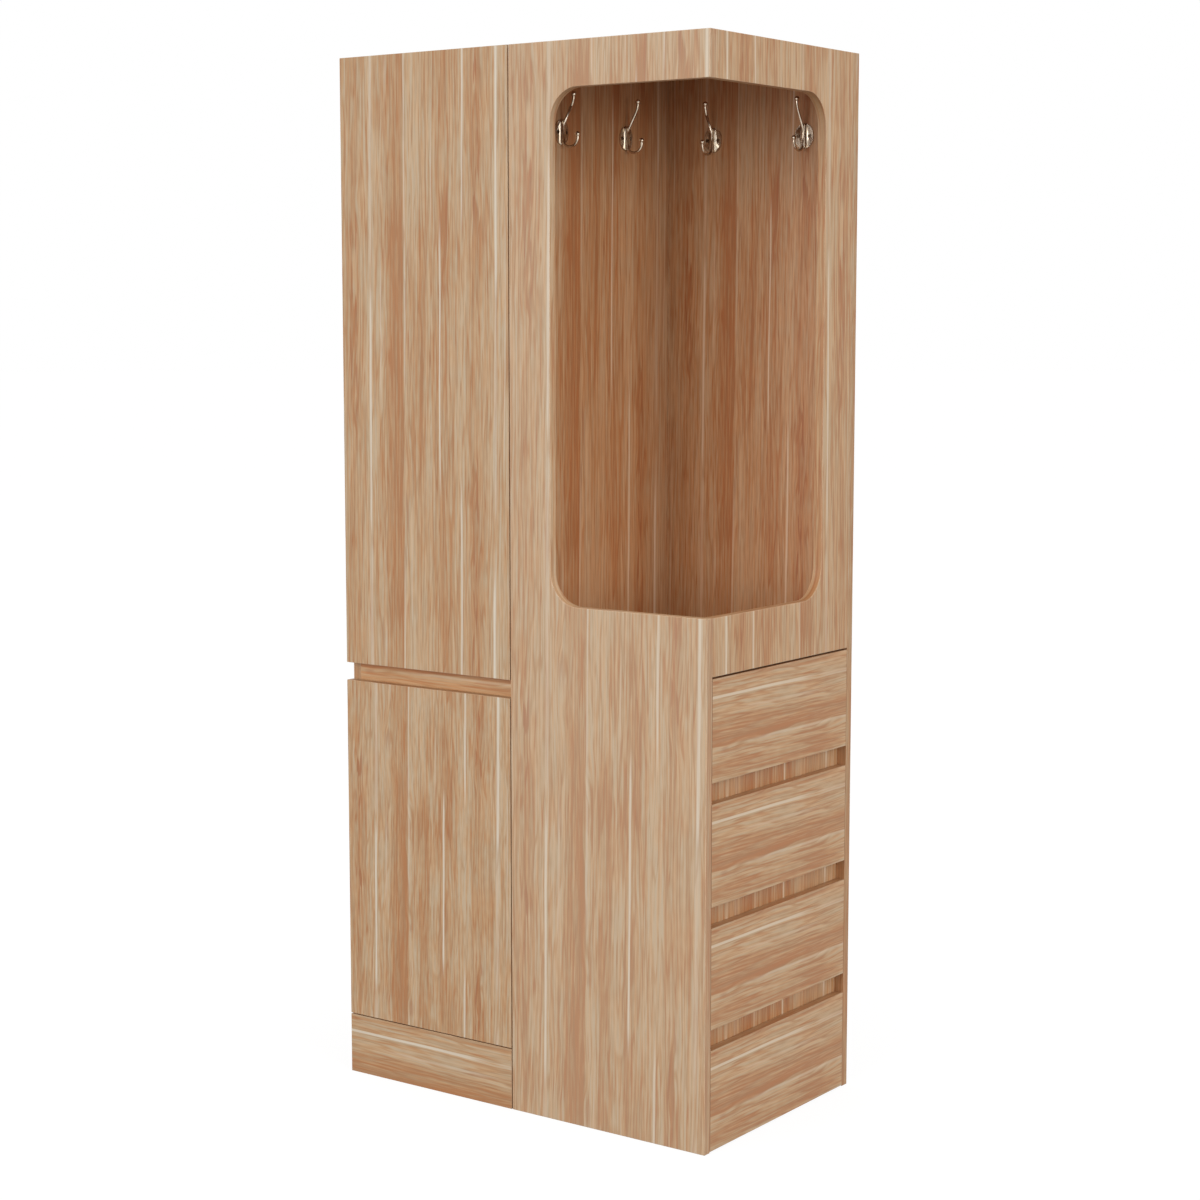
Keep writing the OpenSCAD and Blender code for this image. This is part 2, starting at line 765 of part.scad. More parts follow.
module lower_hinge_cups() {
  color(steel) at_hinges(lower_hinge_z) hinge_cup();
}

module bumpers(zs) {
  for (z = zs)
    bar_y(bumper_d / 2, y_fi, y_c - bumper_slip, x_l + door_w - bumper_in, z);
}

module upper_door_bumpers() {
  color(rubber) bumpers([upper_door_z + rail_lap / 2, total_h - board_t / 2]);
}

module lower_door_bumpers() {
  color(rubber) bumpers([plinth_h + board_t / 2, lower_door_top - rail_lap / 2]);
}

// Calls its child for each cam joint, moved so that X runs from the face into the board
module at_cams() {
  for (j = concat(
      [for (z = cabinet_zs, y = cab_cam_y) [x_li, 1, z, y]],
      [for (z = cabinet_zs, y = cab_cam_y) [part_x0, -1, z, y]],
      [for (z = corner_zs, y = corner_cam_y) [part_x1, 1, z, y]],
      [for (z = [top_z, bank_top], y = corner_cam_y) [x_ri, -1, z, y]]))
    translate([j[0], j[3], j[2]]) rotate([0, 0, j[1] > 0 ? 0 : 180]) children();
}

module cam_locks() {
  color(steel) at_cams() difference() {
    translate([cam_set, 0, 0]) cylinder(r = cam_r, h = cam_h);
    bar_x(bolt_r + slip, cam_set - cam_r - cut, cam_set + slip, 0, board_t / 2);
    board([cam_set - 4, -0.8, -cut], [cam_set + 4, 0.8, 2]);
  }
}

module cam_bolts() {
  color(steel) at_cams() {
    bar_x(bolt_r, 0, cam_set, 0, board_t / 2);
    bar_x(bolt_thread_r, -bolt_thread_l, 0, 0, board_t / 2);
  }
}

module panel_dowels() {
  r = dowel_r - dowel_slip;
  color(beech) {
    for (z = cabinet_zs, y = cab_dowel_y, e = [[x_li, 1], [part_x0, -1]])
      bar_x(r, e[0] - e[1] * dowel_in, e[0] + e[1] * dowel_out, y, z + board_t / 2);
    for (z = corner_zs, y = corner_dowel_y)
      bar_x(r, part_x1 - dowel_in, part_x1 + dowel_out, y, z + board_t / 2);
    for (z = [top_z, bank_top], y = corner_dowel_y)
      bar_x(r, x_ri + dowel_in, x_ri - dowel_out, y, z + board_t / 2);
    for (p = front_dowels) bar_y(r, y_fi - dowel_in, y_fi + dowel_out, p[0], p[1]);
    for (p = rear_dowels) bar_y(r, y_bi - dowel_out, y_bi + dowel_in, p[0], p[1]);
  }
}

left_side_panel();
partition_panel();
cabinet_top();
cabinet_floor();
fixed_shelf();
middle_rail();
plinth();
plinth_blocks();
loose_shelf();
shelf_pins();
hanging_rail();
hanging_rail_flanges();
cabinet_back();
front_panel();
corner_side_panel();
back_panel();
niche_top();
niche_floor();
base_panel();
drawer_rails();
coat_hook(1);  // coat_hook_1
coat_hook(2);  // coat_hook_2
coat_hook(3);  // coat_hook_3
coat_hook(4);  // coat_hook_4
hook_screws();
runner_channels();
hinge_arms();
hinge_plates();
hinge_screws();
hinge_pins();
cam_locks();
cam_bolts();
panel_dowels();
upper_door();
upper_hinge_cups();
upper_door_bumpers();
lower_door();
lower_hinge_cups();
lower_door_bumpers();
drawer_front(1);  // drawer_1_front
drawer_sides(1);  // drawer_1_sides
drawer_end(1);  // drawer_1_end
drawer_bottom(1);  // drawer_1_bottom
drawer_slides(1);  // drawer_1_slides
drawer_front(2);  // drawer_2_front
drawer_sides(2);  // drawer_2_sides
drawer_end(2);  // drawer_2_end
drawer_bottom(2);  // drawer_2_bottom
drawer_slides(2);  // drawer_2_slides
drawer_front(3);  // drawer_3_front
drawer_sides(3);  // drawer_3_sides
drawer_end(3);  // drawer_3_end
drawer_bottom(3);  // drawer_3_bottom
drawer_slides(3);  // drawer_3_slides
drawer_front(4);  // drawer_4_front
drawer_sides(4);  // drawer_4_sides
drawer_end(4);  // drawer_4_end
drawer_bottom(4);  // drawer_4_bottom
drawer_slides(4);  // drawer_4_slides
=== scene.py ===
"""Looks of a corner wardrobe: a two-door cupboard beside an open coat niche that stands on four drawers.

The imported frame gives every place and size. This script dresses its boards in a wood-grain
laminate, its fittings in metal, and sets up a plain pale studio. All lengths are in metres.
"""

import logging
import math
from collections.abc import Callable, Iterable
from dataclasses import astuple, dataclass, field
from enum import Enum, IntEnum

import bmesh
import bpy
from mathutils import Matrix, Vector


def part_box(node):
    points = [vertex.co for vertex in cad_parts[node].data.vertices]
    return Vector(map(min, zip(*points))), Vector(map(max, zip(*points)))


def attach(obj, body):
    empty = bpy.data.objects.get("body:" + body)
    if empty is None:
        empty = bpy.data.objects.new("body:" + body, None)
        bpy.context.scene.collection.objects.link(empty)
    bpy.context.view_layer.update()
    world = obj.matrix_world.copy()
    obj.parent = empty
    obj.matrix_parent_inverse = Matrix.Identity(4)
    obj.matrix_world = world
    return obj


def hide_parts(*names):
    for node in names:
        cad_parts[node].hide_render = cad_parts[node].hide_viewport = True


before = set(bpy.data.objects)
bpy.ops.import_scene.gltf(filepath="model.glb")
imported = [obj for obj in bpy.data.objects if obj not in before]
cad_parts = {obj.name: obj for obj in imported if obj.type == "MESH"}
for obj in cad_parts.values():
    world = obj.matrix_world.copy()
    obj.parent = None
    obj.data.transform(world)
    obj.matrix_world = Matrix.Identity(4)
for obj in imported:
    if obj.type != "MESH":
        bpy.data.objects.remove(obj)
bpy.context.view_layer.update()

# Names that a board's mesh and its material share
GRAIN_MAP = "grain"
RIM_MARK = "eased_edge"

# Vertices closer than this are one, and faces that turn less than this are flat
MERGE = 1e-5
FLAT = math.radians(0.5)

# An edge that turns more than this is sharp
SHARP = math.radians(30)

# A face this far inside a board's outline belongs to its mouth
RIM = 0.002

# A face whose normal points this far towards the niche takes the painted niche shade
SHADED_SIDE_LEAST = 0.9

# The noise levels between which an eased edge takes its painted highlight, and how much of it shows at least
# and at most
HIGHLIT_LEVELS = (0.35, 0.7)
HIGHLIT_SHARES = (0.4, 1.0)

# How many clouds a metre of metal holds, and how many of its marks it holds upright, as a share
METAL_CLOUDS = 55.0
DRAWN_SHARE = 0.08

WHITE = (1.0, 1.0, 1.0, 1.0)
ORIGIN = (0.0, 0.0, 0.0)

Colour = tuple[float, float, float, float]
Material = bpy.types.Material
Socket = bpy.types.NodeSocket
Tree = bpy.types.NodeTree

log = logging.getLogger("wardrobe")


class Axis(IntEnum):
    """An axis of the frame, as the index of a coordinate."""

    X = 0
    Y = 1
    Z = 2


class Blend(Enum):
    """The ways in which two colours are laid over each other."""

    MIX = "MIX"
    MULTIPLY = "MULTIPLY"


def srgb(red: int, green: int, blue: int) -> Colour:
    """Turns a colour as a screen shows it into the linear colour that shaders take.

    Args:
        red: Red, from 0 to 255.
        green: Green, from 0 to 255.
        blue: Blue, from 0 to 255.

    Returns:
        The linear colour with an alpha of 1.
    """
    linear = []
    for value in (red, green, blue):
        share = value / 255
        linear.append(share / 12.92 if share <= 0.04045 else ((share + 0.055) / 1.055) ** 2.4)
    return (*linear, 1.0)


class Wires:
    """Adds nodes to one node tree and joins them. A value is a socket or a plain number or colour."""

    def __init__(self, tree: Tree) -> None:
        """Takes the tree of a material, of the surroundings or of a shader node group."""
        self.tree = tree

    def join(self, value: object, socket: Socket) -> None:
        """Links a socket to an input, or sets the input to a plain value.

        Args:
            value: An output socket, a number or a colour.
            socket: The input.
        """
        if isinstance(value, Socket):
            self.tree.links.new(value, socket)
        else:
            socket.default_value = value

    def node(self, kind: str, inputs: dict | None = None, **settings: object) -> bpy.types.Node:
        """Adds a node.

        Args:
            kind: The node's type name.
            inputs: What goes to each input, by the input's name or index.
            **settings: The node's own properties.

        Returns:
            The new node.
        """
        made = self.tree.nodes.new(kind)
        for name, value in settings.items():
            setattr(made, name, value)
        for key, value in (inputs or {}).items():
            self.join(value, made.inputs[key])
        return made

    def group(self, tree: Tree, inputs: dict) -> bpy.types.bpy_prop_collection:
        """Places a shader node group with what goes to its inputs, and gives its outputs."""
        return self.node("ShaderNodeGroup", inputs, node_tree=tree).outputs

    def math(self, operation: str, *values: object, clamp: bool = False) -> Socket:
        """Works out one number from one to three, held between 0 and 1 where clamp is set."""
        inputs = dict(enumerate(values))
        return self.node("ShaderNodeMath", inputs, operation=operation, use_clamp=clamp).outputs[0]

    def plus(self, value: object, other: object) -> Socket:
        """Adds two numbers."""
        return self.math("ADD", value, other)

    def minus(self, value: object, other: object) -> Socket:
        """Takes the second number from the first."""
        return self.math("SUBTRACT", value, other)

    def times(self, value: object, other: object, clamp: bool = False) -> Socket:
        """Multiplies two numbers, and holds the result between 0 and 1 where clamp is set."""
        return self.math("MULTIPLY", value, other, clamp=clamp)

    def off_centre(self, noise: Socket) -> Socket:
        """Moves noise around 0.5 to noise around 0."""
        return self.minus(noise, 0.5)

    def soft_step(self, value: object, low: object, high: object) -> Socket:
        """Rises smoothly from 0, where the value is low, to 1, where it is high."""
        inputs = {"Value": value, "From Min": low, "From Max": high}
        return self.node("ShaderNodeMapRange", inputs, interpolation_type="SMOOTHSTEP").outputs["Result"]

    def soft_drop(self, value: object, low: object, high: object) -> Socket:
        """Falls smoothly from 1, where the value is low, to 0, where it is high."""
        return self.minus(1.0, self.soft_step(value, low, high))

    def between(self, value: object, low: float, high: float) -> Socket:
        """Spreads a number from 0 to 1 over the range from low to high."""
        made = self.node("ShaderNodeMapRange", {"Value": value, "To Min": low, "To Max": high})
        return made.outputs["Result"]

    def colour(self, factor: object, under: object, over: object, blend: Blend = Blend.MIX) -> Socket:
        """Lays one colour over another, as far as the factor says."""
        inputs = {"Factor": factor, "A": under, "B": over}
        return self.node("ShaderNodeMix", inputs, data_type="RGBA", blend_type=blend.value).outputs["Result"]

    def ramp(self, factor: object, stops: Iterable[tuple[float, Colour]]) -> Socket:
        """Turns a number into a colour through a row of stops.

        Args:
            factor: The number, from 0 to 1.
            stops: The place and the colour of each stop, in order.

        Returns:
            The colour's socket.
        """
        made = self.node("ShaderNodeValToRGB", {"Fac": factor})
        elements = made.color_ramp.elements
        wanted = list(stops)
        while len(elements) < len(wanted):
            elements.new(1.0)
        for element, (place, colour) in zip(elements, wanted, strict=True):
            element.position = place
            element.color = colour
        return made.outputs["Color"]

    def point(self, across: object, along: object, depth: object) -> Socket:
        """Joins three numbers into a point."""
        return self.node("ShaderNodeCombineXYZ", {0: across, 1: along, 2: depth}).outputs[0]

    def noise(self, place: object, scale: object, detail: float, roughness: float = 0.5) -> Socket:
        """Makes smooth noise around 0.5: its bumps to a unit, its finer layers and their strength."""
        inputs = {"Vector": place, "Scale": scale, "Detail": detail, "Roughness": roughness}
        return self.node("ShaderNodeTexNoise", inputs).outputs[0]


class Group(Wires):
    """The wires of a new shader node group with named sockets."""

    def __init__(self, name: str, inputs: dict[str, object], outputs: dict[str, str]) -> None:
        """Starts the group.

        Args:
            name: The group's name.
            inputs: Each input's name with its default, a number or a vector.
            outputs: Each output's name with its kind, Float or Color.
        """
        super().__init__(bpy.data.node_groups.new(name, "ShaderNodeTree"))
        for label, default in inputs.items():
            kind = "NodeSocketFloat" if isinstance(default, float) else "NodeSocketVector"
            made = self.tree.interface.new_socket(label, in_out="INPUT", socket_type=kind)
            made.default_value = default
        for label, kind in outputs.items():
            self.tree.interface.new_socket(label, in_out="OUTPUT", socket_type=f"NodeSocket{kind}")
        self.given = self.tree.nodes.new("NodeGroupInput").outputs
        self.end = self.tree.nodes.new("NodeGroupOutput")

    def put(self, **outputs: Socket) -> Tree:
        """Closes the group.

        Args:
            **outputs: What goes to each output.

        Returns:
            The group's tree.
        """
        for name, value in outputs.items():
            self.join(value, self.end.inputs[name])
        return self.tree


@dataclass(frozen=True)
class Mark:
    """A mark of the print that runs along the grain, such as a column of short dark flecks.

    Attributes:
        across: Its middle, from the print's left edge.
        half: Half its width.
        foot: Where it starts along the grain.
        length: How far it runs along the grain.
        strength: How much it changes the wood; a stain below 0 darkens it.
    """

    across: float
    half: float
    foot: float
    length: float
    strength: float

    def lay(self, wires: Wires, tree: Tree, tile: Socket, along: Socket) -> bpy.types.bpy_prop_collection:
        """Puts the mark into the print by its group, whose inputs lie in the fields' order."""
        return wires.group(tree, dict(enumerate((tile, along, *astuple(self)))))


@dataclass(frozen=True)
class Streak(Mark):
    """A line or a stain of the print.

    Attributes:
        crisp: How sharp its sides are, from 0 to 1.
    """

    crisp: float = 0.45


MARK_INPUTS = dict.fromkeys(("Across", "Along", "Centre", "Half", "Foot", "Length", "Strength"), 0.1)


@dataclass(frozen=True)
class Fibres:
    """A layer of noise that is fine across the grain and long along it.

    Attributes:
        wide: How many bumps a metre holds across the grain.
        long: How many it holds along the grain.
        seed: A number that sets the layer apart from the others.
        detail: How many finer layers are added.
        roughness: How strong the finer layers are.
        weight: How much the layer changes the wood, or how far it moves the lines, in metres.
        step: The levels between which its marks rise from 0 to 1.
    """

    wide: float
    long: float
    seed: float
    detail: float = 1.0
    roughness: float = 0.5
    weight: float = 1.0
    step: tuple[float, float] = (0.0, 1.0)

    def lay(self, wires: Wires, across: Socket, along: Socket) -> Socket:
        """Gives the layer's noise, around 0.5, at a place on the print."""
        place = wires.point(wires.times(across, self.wide), wires.times(along, self.long), self.seed)
        return wires.noise(place, 1.0, self.detail, self.roughness)

    def marks(self, wires: Wires, across: Socket, along: Socket) -> Socket:
        """Draws the layer as marks between its two levels."""
        return wires.soft_step(self.lay(wires, across, along), *self.step)

    def sway(self, wires: Wires, across: Socket, along: Socket, reach: object) -> Socket:
        """Gives a shift to either side, of half the reach at most."""
        return wires.times(wires.off_centre(self.lay(wires, across, along)), reach)


@dataclass(frozen=True)
class WoodPrint:
    """The printed wood grain that all the laminated boards share.

    Attributes:
        width: The distance after which the print repeats across the grain.
        height: The distance after which it repeats along the grain.
        drift: How far its lines lean to the right for each metre along the grain.
        tones: The wood's colours from the darkest to the palest, each with its place between them.
        tone_range: The shades that the first and the last tone stand for.
        darker: How much darker the shade is than the bands say.
        cream: The colour of the streaks.
        rust: The colour of the threads and flames.
        olive: The cooler tint that plays over the fibres.
        rose: The warmer tint that plays over the fibres.
        wander: How all the lines wander together.
        bend: How the fibres bend besides.
        bend_reach: How far they bend in plain wood and beside a flame.
        ripple: How they ripple in small.
        broad: The broadest light and dark of the fibres.
        middle: The middle light and dark.
        fine: The finest light and dark.
        rings: The noise whose levels are drawn as growth rings.
        ring_count: How many levels it has.
        ring_edge: The place in a ring where its light wood turns dark.
        hairs: The noise whose middle level is drawn as dark hairs.
        hair_half: How far from that level a hair reaches.
        pores: The short dark pores.
        threads: The rust-coloured threads.
        thread_end: The shade above which no thread shows.
        play: How the two tints change places.
        flecks: The dark flecks of the flames.
        core: The shares of a flame's half width between which its flecks die away.
        column: The shares between which the fibres' bend round it dies away.
        flame_fade: How far along the grain a flame takes to rise and to die away.
        streak_fade: How far a streak takes.
        streak_widths: How the widths of the streaks change.
        swell: The shares of its width that a streak has where it is thin and where it is wide.
        streak_play: How weak and how strong the fibres make a streak.
        bands: Places across the print, each with its shade from 0 for brown to 1 for pale.
        stains: Broad soft changes of the shade.
        streaks: The cream lines.
        flames: Columns of dark flecks, where the print shows the tops of growth rings.
    """

    width: float = 0.443
    height: float = 1.1
    drift: float = 0.008
    tones: tuple[tuple[float, Colour], ...] = (
        (0.0, srgb(160, 102, 60)),
        (0.2, srgb(171, 119, 77)),
        (0.6, srgb(184, 146, 108)),
        (1.0, srgb(198, 171, 140)),
    )
    tone_range: tuple[float, float] = (0.2, 1.0)
    darker: float = 0.04
    cream: Colour = srgb(214, 202, 183)
    rust: Colour = srgb(160, 98, 56)
    olive: Colour = (0.905, 0.962, 1.0, 1.0)
    rose: Colour = (1.0, 0.936, 0.850, 1.0)
    wander: Fibres = Fibres(15.0, 2.4, 0.0, 2.0, weight=0.006)
    bend: Fibres = Fibres(26.0, 3.4, 2.0, 2.0)
    bend_reach: tuple[float, float] = (0.007, 0.036)
    ripple: Fibres = Fibres(70.0, 11.0, 4.0, weight=0.002)
    broad: Fibres = Fibres(34.0, 1.0, 6.0, 2.0, 0.6, weight=0.24)
    middle: Fibres = Fibres(110.0, 2.7, 8.0, 1.0, 0.8, weight=0.34)
    fine: Fibres = Fibres(250.0, 5.2, 10.0, 1.0, 0.6, weight=1.15)
    rings: Fibres = Fibres(28.0, 1.3, 16.0, 1.0, 0.4, weight=0.32)
    ring_count: float = 9.0
    ring_edge: float = 0.82
    hairs: Fibres = Fibres(125.0, 4.2, 20.0, weight=0.40)
    hair_half: float = 0.07
    pores: Fibres = Fibres(240.0, 38.0, 22.0, 0.0, weight=0.36)
    threads: Fibres = Fibres(170.0, 4.0, 12.0, 2.0, 0.6, weight=0.55, step=(0.60, 0.76))
    thread_end: float = 1.1
    play: Fibres = Fibres(160.0, 6.0, 14.0, 2.0, 0.9, step=(0.36, 0.64))
    flecks: Fibres = Fibres(150.0, 12.0, 4.0, 1.0, 0.4, step=(0.54, 0.64))
    core: tuple[float, float] = (0.3, 1.0)
    column: tuple[float, float] = (0.5, 2.2)
    flame_fade: float = 0.06
    streak_fade: float = 0.09
    streak_widths: Fibres = Fibres(97.0, 5.0, 0.0, 2.0)
    swell: tuple[float, float] = (0.45, 1.75)
    streak_play: tuple[float, float] = (0.60, 1.35)
    bands: tuple[tuple[float, float], ...] = (
        (0.000, 0.55), (0.015, 0.42), (0.034, 0.58), (0.058, 0.66), (0.080, 0.68), (0.097, 0.60),
        (0.104, 0.36), (0.122, 0.40), (0.141, 0.20), (0.144, 0.66), (0.170, 0.60), (0.187, 0.44),
        (0.200, 0.60), (0.213, 0.60), (0.224, 0.40), (0.246, 0.44), (0.262, 0.54), (0.285, 0.62),
        (0.300, 0.52), (0.322, 0.46), (0.340, 0.54), (0.360, 0.62), (0.378, 0.74), (0.398, 0.66),
        (0.420, 0.56), (0.443, 0.55),
    )
    stains: tuple[Streak, ...] = (
        Streak(0.122, 0.0225, 0.88, 0.90, -0.27, 0.35),
        Streak(0.244, 0.0150, 0.40, 0.30, -0.30, 0.10),
        Streak(0.319, 0.0190, 0.60, 0.64, -0.24, 0.10),
        Streak(0.249, 0.0220, 0.78, 0.40, -0.22, 0.10),
        Streak(0.190, 0.0110, 0.06, 0.55, -0.20, 0.20),
        Streak(0.015, 0.0170, 0.16, 0.50, -0.20, 0.10),
        Streak(0.171, 0.0280, 0.48, 0.54, 0.20, 0.25),
        Streak(0.285, 0.0220, 0.05, 0.52, 0.14, 0.20),
        Streak(0.078, 0.0180, 0.70, 0.60, -0.14, 0.10),
        Streak(0.172, 0.0250, 0.08, 0.56, -0.16, 0.30),
    )
    streaks: tuple[Streak, ...] = (
        Streak(0.0595, 0.0030, 1.06, 0.54, 0.88),
        Streak(0.0600, 0.0060, 0.46, 0.66, 0.40, 0.10),
        Streak(0.1443, 0.0023, 0.52, 0.56, 0.45),
        Streak(0.1445, 0.0032, 0.24, 0.36, 0.34, 0.20),
        Streak(0.2328, 0.0024, 0.05, 0.56, 0.90),
        Streak(0.2115, 0.0016, 0.54, 0.24, 0.40),
        Streak(0.2852, 0.0026, 0.54, 0.69, 0.82),
        Streak(0.3655, 0.0032, 0.40, 0.66, 0.90),
        Streak(0.3660, 0.0060, 0.00, 1.10, 0.34, 0.10),
        Streak(0.0975, 0.0040, 0.79, 0.16, 0.32, 0.20),
        Streak(0.3880, 0.0020, 0.10, 0.55, 0.30),
        Streak(0.4180, 0.0024, 0.55, 0.60, 0.26),
        Streak(0.0860, 0.0022, 0.20, 0.34, 0.30),
        Streak(0.1620, 0.0018, 0.86, 0.30, 0.24),
    )
    flames: tuple[Mark, ...] = (
        Mark(0.016, 0.0130, 0.18, 0.52, 0.75),
        Mark(0.319, 0.0140, 0.55, 0.72, 0.75),
        Mark(0.150, 0.0080, 0.90, 0.80, 0.40),
        Mark(0.246, 0.0110, 0.42, 0.26, 0.50),
        Mark(0.090, 0.0120, 0.30, 0.90, 0.30),
    )

    def run_mask(self, wires: Group, fade: float) -> Socket:
        """Holds a mark to its run along the grain.

        Args:
            wires: The wires of the mark's group.
            fade: How far it takes to rise and to die away.

        Returns:
            A socket that is 1 along the run.
        """
        given = wires.given
        run = wires.math("DIVIDE", wires.minus(given["Along"], given["Foot"]), self.height)
        run = wires.times(wires.math("FRACT", run), self.height)
        stop = wires.minus(given["Length"], fade)
        return wires.times(wires.soft_step(run, 0.0, fade), wires.soft_drop(run, stop, given["Length"]))

    def streak_group(self) -> Tree:
        """Builds the group that masks one streak or stain.

        Returns:
            The group's tree, with a Mask output.
        """
        wires = Group("grain_streak", MARK_INPUTS | {"Crisp": 0.5}, {"Mask": "Float"})
        given = wires.given
        noise = self.streak_widths.lay(wires, given["Centre"], given["Along"])
        half = wires.times(given["Half"], wires.between(noise, *self.swell))
        away = wires.math("ABSOLUTE", wires.minus(given["Across"], given["Centre"]))
        line = wires.soft_drop(away, wires.times(half, given["Crisp"]), half)
        mask = wires.times(line, self.run_mask(wires, self.streak_fade))
        return wires.put(Mask=wires.times(mask, given["Strength"]))

    def flame_group(self) -> Tree:
        """Builds the group that masks one column of flecks.

        Returns:
            The group's tree, with a Mask of the flecks and a Column round them.
        """
        wires = Group("growth_flame", MARK_INPUTS, {"Mask": "Float", "Column": "Float"})
        given = wires.given
        away = wires.math("ABSOLUTE", wires.minus(given["Across"], given["Centre"]))
        away = wires.math("DIVIDE", away, given["Half"])
        run = self.run_mask(wires, self.flame_fade)
        core = wires.times(wires.soft_drop(away, *self.core), run)
        column = wires.times(wires.soft_drop(away, *self.column), run)
        flecks = self.flecks.marks(wires, given["Across"], given["Along"])
        mask = wires.times(wires.times(flecks, core), given["Strength"], clamp=True)
        return wires.put(Mask=mask, Column=column)

    def group(self) -> Tree:
        """Builds the print as a group that takes a place on the board.

        Returns:
            The group's tree, with Color and Grain outputs.
        """
        outputs = {"Color": "Color", "Grain": "Float"}
        wires = Group("laminate_print", {"Place": ORIGIN, "Contrast": 1.0}, outputs)

        # The place on the print, whose lines lean and wander
        place = wires.node("ShaderNodeSeparateXYZ", {0: wires.given["Place"]}).outputs
        along = place["Y"]
        wander = self.wander.sway(wires, place["X"], along, self.wander.weight)
        across = wires.minus(wires.plus(place["X"], wander), wires.times(along, self.drift))
        turns = wires.math("FRACT", wires.math("DIVIDE", across, self.width))
        tile = wires.times(turns, self.width)

        # The flames, round which the fibres bend
        flame_tree = self.flame_group()
        flecks: object = 0.0
        columns: object = 0.0
        for flame in self.flames:
            made = flame.lay(wires, flame_tree, tile, along)
            flecks = wires.math("MAXIMUM", flecks, made["Mask"])
            columns = wires.math("MAXIMUM", columns, made["Column"])
        bend = self.bend.sway(wires, across, along, wires.between(columns, *self.bend_reach))
        ripple = self.ripple.sway(wires, across, along, self.ripple.weight)
        figure = wires.plus(across, wires.plus(bend, ripple))

        # The shade of the bands and stains, and of the fibres over them
        stops = [(at / self.width, (shade,) * 3 + (1.0,)) for at, shade in self.bands]
        shade = wires.minus(wires.ramp(turns, stops), self.darker)
        streak_tree = self.streak_group()
        for stain in self.stains:
            shade = wires.plus(shade, stain.lay(wires, streak_tree, tile, along)["Mask"])
        layers = (self.broad, self.middle, self.fine, self.rings, self.hairs, self.pores)
        noises = {layer: layer.lay(wires, figure, along) for layer in layers}
        rings = wires.math("FRACT", wires.times(noises[self.rings], self.ring_count))
        noises[self.rings] = wires.minus(rings, wires.soft_step(rings, self.ring_edge, 1.0))
        hairs = wires.math("ABSOLUTE", wires.off_centre(noises[self.hairs]))
        noises[self.hairs] = wires.soft_step(hairs, 0.0, self.hair_half)
        lift: object = 0.0
        for layer, noise in noises.items():
            lift = wires.math("MULTIPLY_ADD", wires.off_centre(noise), layer.weight, lift)
        shade = wires.math("MULTIPLY_ADD", lift, wires.given["Contrast"], shade)

        # The colour of that shade, with threads, flecks, tints and streaks over it
        colour = wires.ramp(wires.between(shade, *self.tone_range), self.tones)
        threads = self.threads.marks(wires, figure, along)
        threads = wires.times(threads, wires.minus(self.thread_end, shade), clamp=True)
        colour = wires.colour(wires.times(threads, self.threads.weight), colour, self.rust)
        colour = wires.colour(flecks, colour, self.rust)
        tint = wires.ramp(self.play.marks(wires, figure, along), ((0.0, self.olive), (1.0, self.rose)))
        colour = wires.colour(1.0, colour, tint, Blend.MULTIPLY)
        light: object = 0.0
        for streak in self.streaks:
            light = wires.math("MAXIMUM", light, streak.lay(wires, streak_tree, tile, along)["Mask"])
        light = wires.times(light, wires.between(noises[self.middle], *self.streak_play), clamp=True)
        colour = wires.colour(light, colour, self.cream)
        grain = wires.times(wires.plus(noises[self.fine], noises[self.middle]), 0.5)
        return wires.put(Color=colour, Grain=grain)


def edge_highlight_group() -> Tree:
    """Builds the group that finds the patches of an eased edge that take a painted highlight.

    Returns:
        The group's tree, with a Mask output.
    """
    wires = Group("edge_highlight", {"Place": ORIGIN, "Scale": 60.0, "Amount": 0.5}, {"Mask": "Float"})
    given = wires.given
    # Painted highlight: a pale colour laid in noise patches over the eased edges, where light would catch
    # them
    rim = wires.node("ShaderNodeAttribute", attribute_name=RIM_MARK).outputs["Fac"]
    highlit = wires.soft_step(wires.noise(given["Place"], given["Scale"], detail=3.0), *HIGHLIT_LEVELS)
    mask = wires.times(rim, wires.between(highlit, *HIGHLIT_SHARES))
    return wires.put(Mask=wires.times(mask, given["Amount"], clamp=True))


def plating_group() -> Tree:
    """Builds the group that gives plated and rolled metal its fine marks.

    Returns:
        The group's tree, with Tint, Rough and Height outputs.
    """
    outputs = dict.fromkeys(("Tint", "Rough", "Height"), "Float")
    wires = Group("plating_marks", {"Place": ORIGIN, "Scale": 900.0}, outputs)
    place = wires.given["Place"]
    split = wires.node("ShaderNodeSeparateXYZ", {0: place}).outputs
    drawn = wires.point(split["X"], split["Y"], wires.times(split["Z"], DRAWN_SHARE))
    lines = wires.noise(drawn, wires.given["Scale"], detail=2.0)
    clouds = wires.noise(place, METAL_CLOUDS, detail=3.0)
    return wires.put(Tint=wires.times(wires.plus(lines, clouds), 0.5), Rough=clouds, Height=lines)


class Groups:
    """The shader groups that the finishes share."""

    def __init__(self) -> None:
        """Builds each group once."""
        self.wood = WoodPrint().group()
        self.wear = edge_highlight_group()
        self.plating = plating_group()


@dataclass(frozen=True)
class Relief:
    """The play of a surface's sheen and its fine relief.

    Attributes:
        play: How much rougher it is where the noise is 0, and smoother where it is 1.
        depth: How deep the relief is.
        strength: How much of it shows.
    """

    play: float
    depth: float
    strength: float


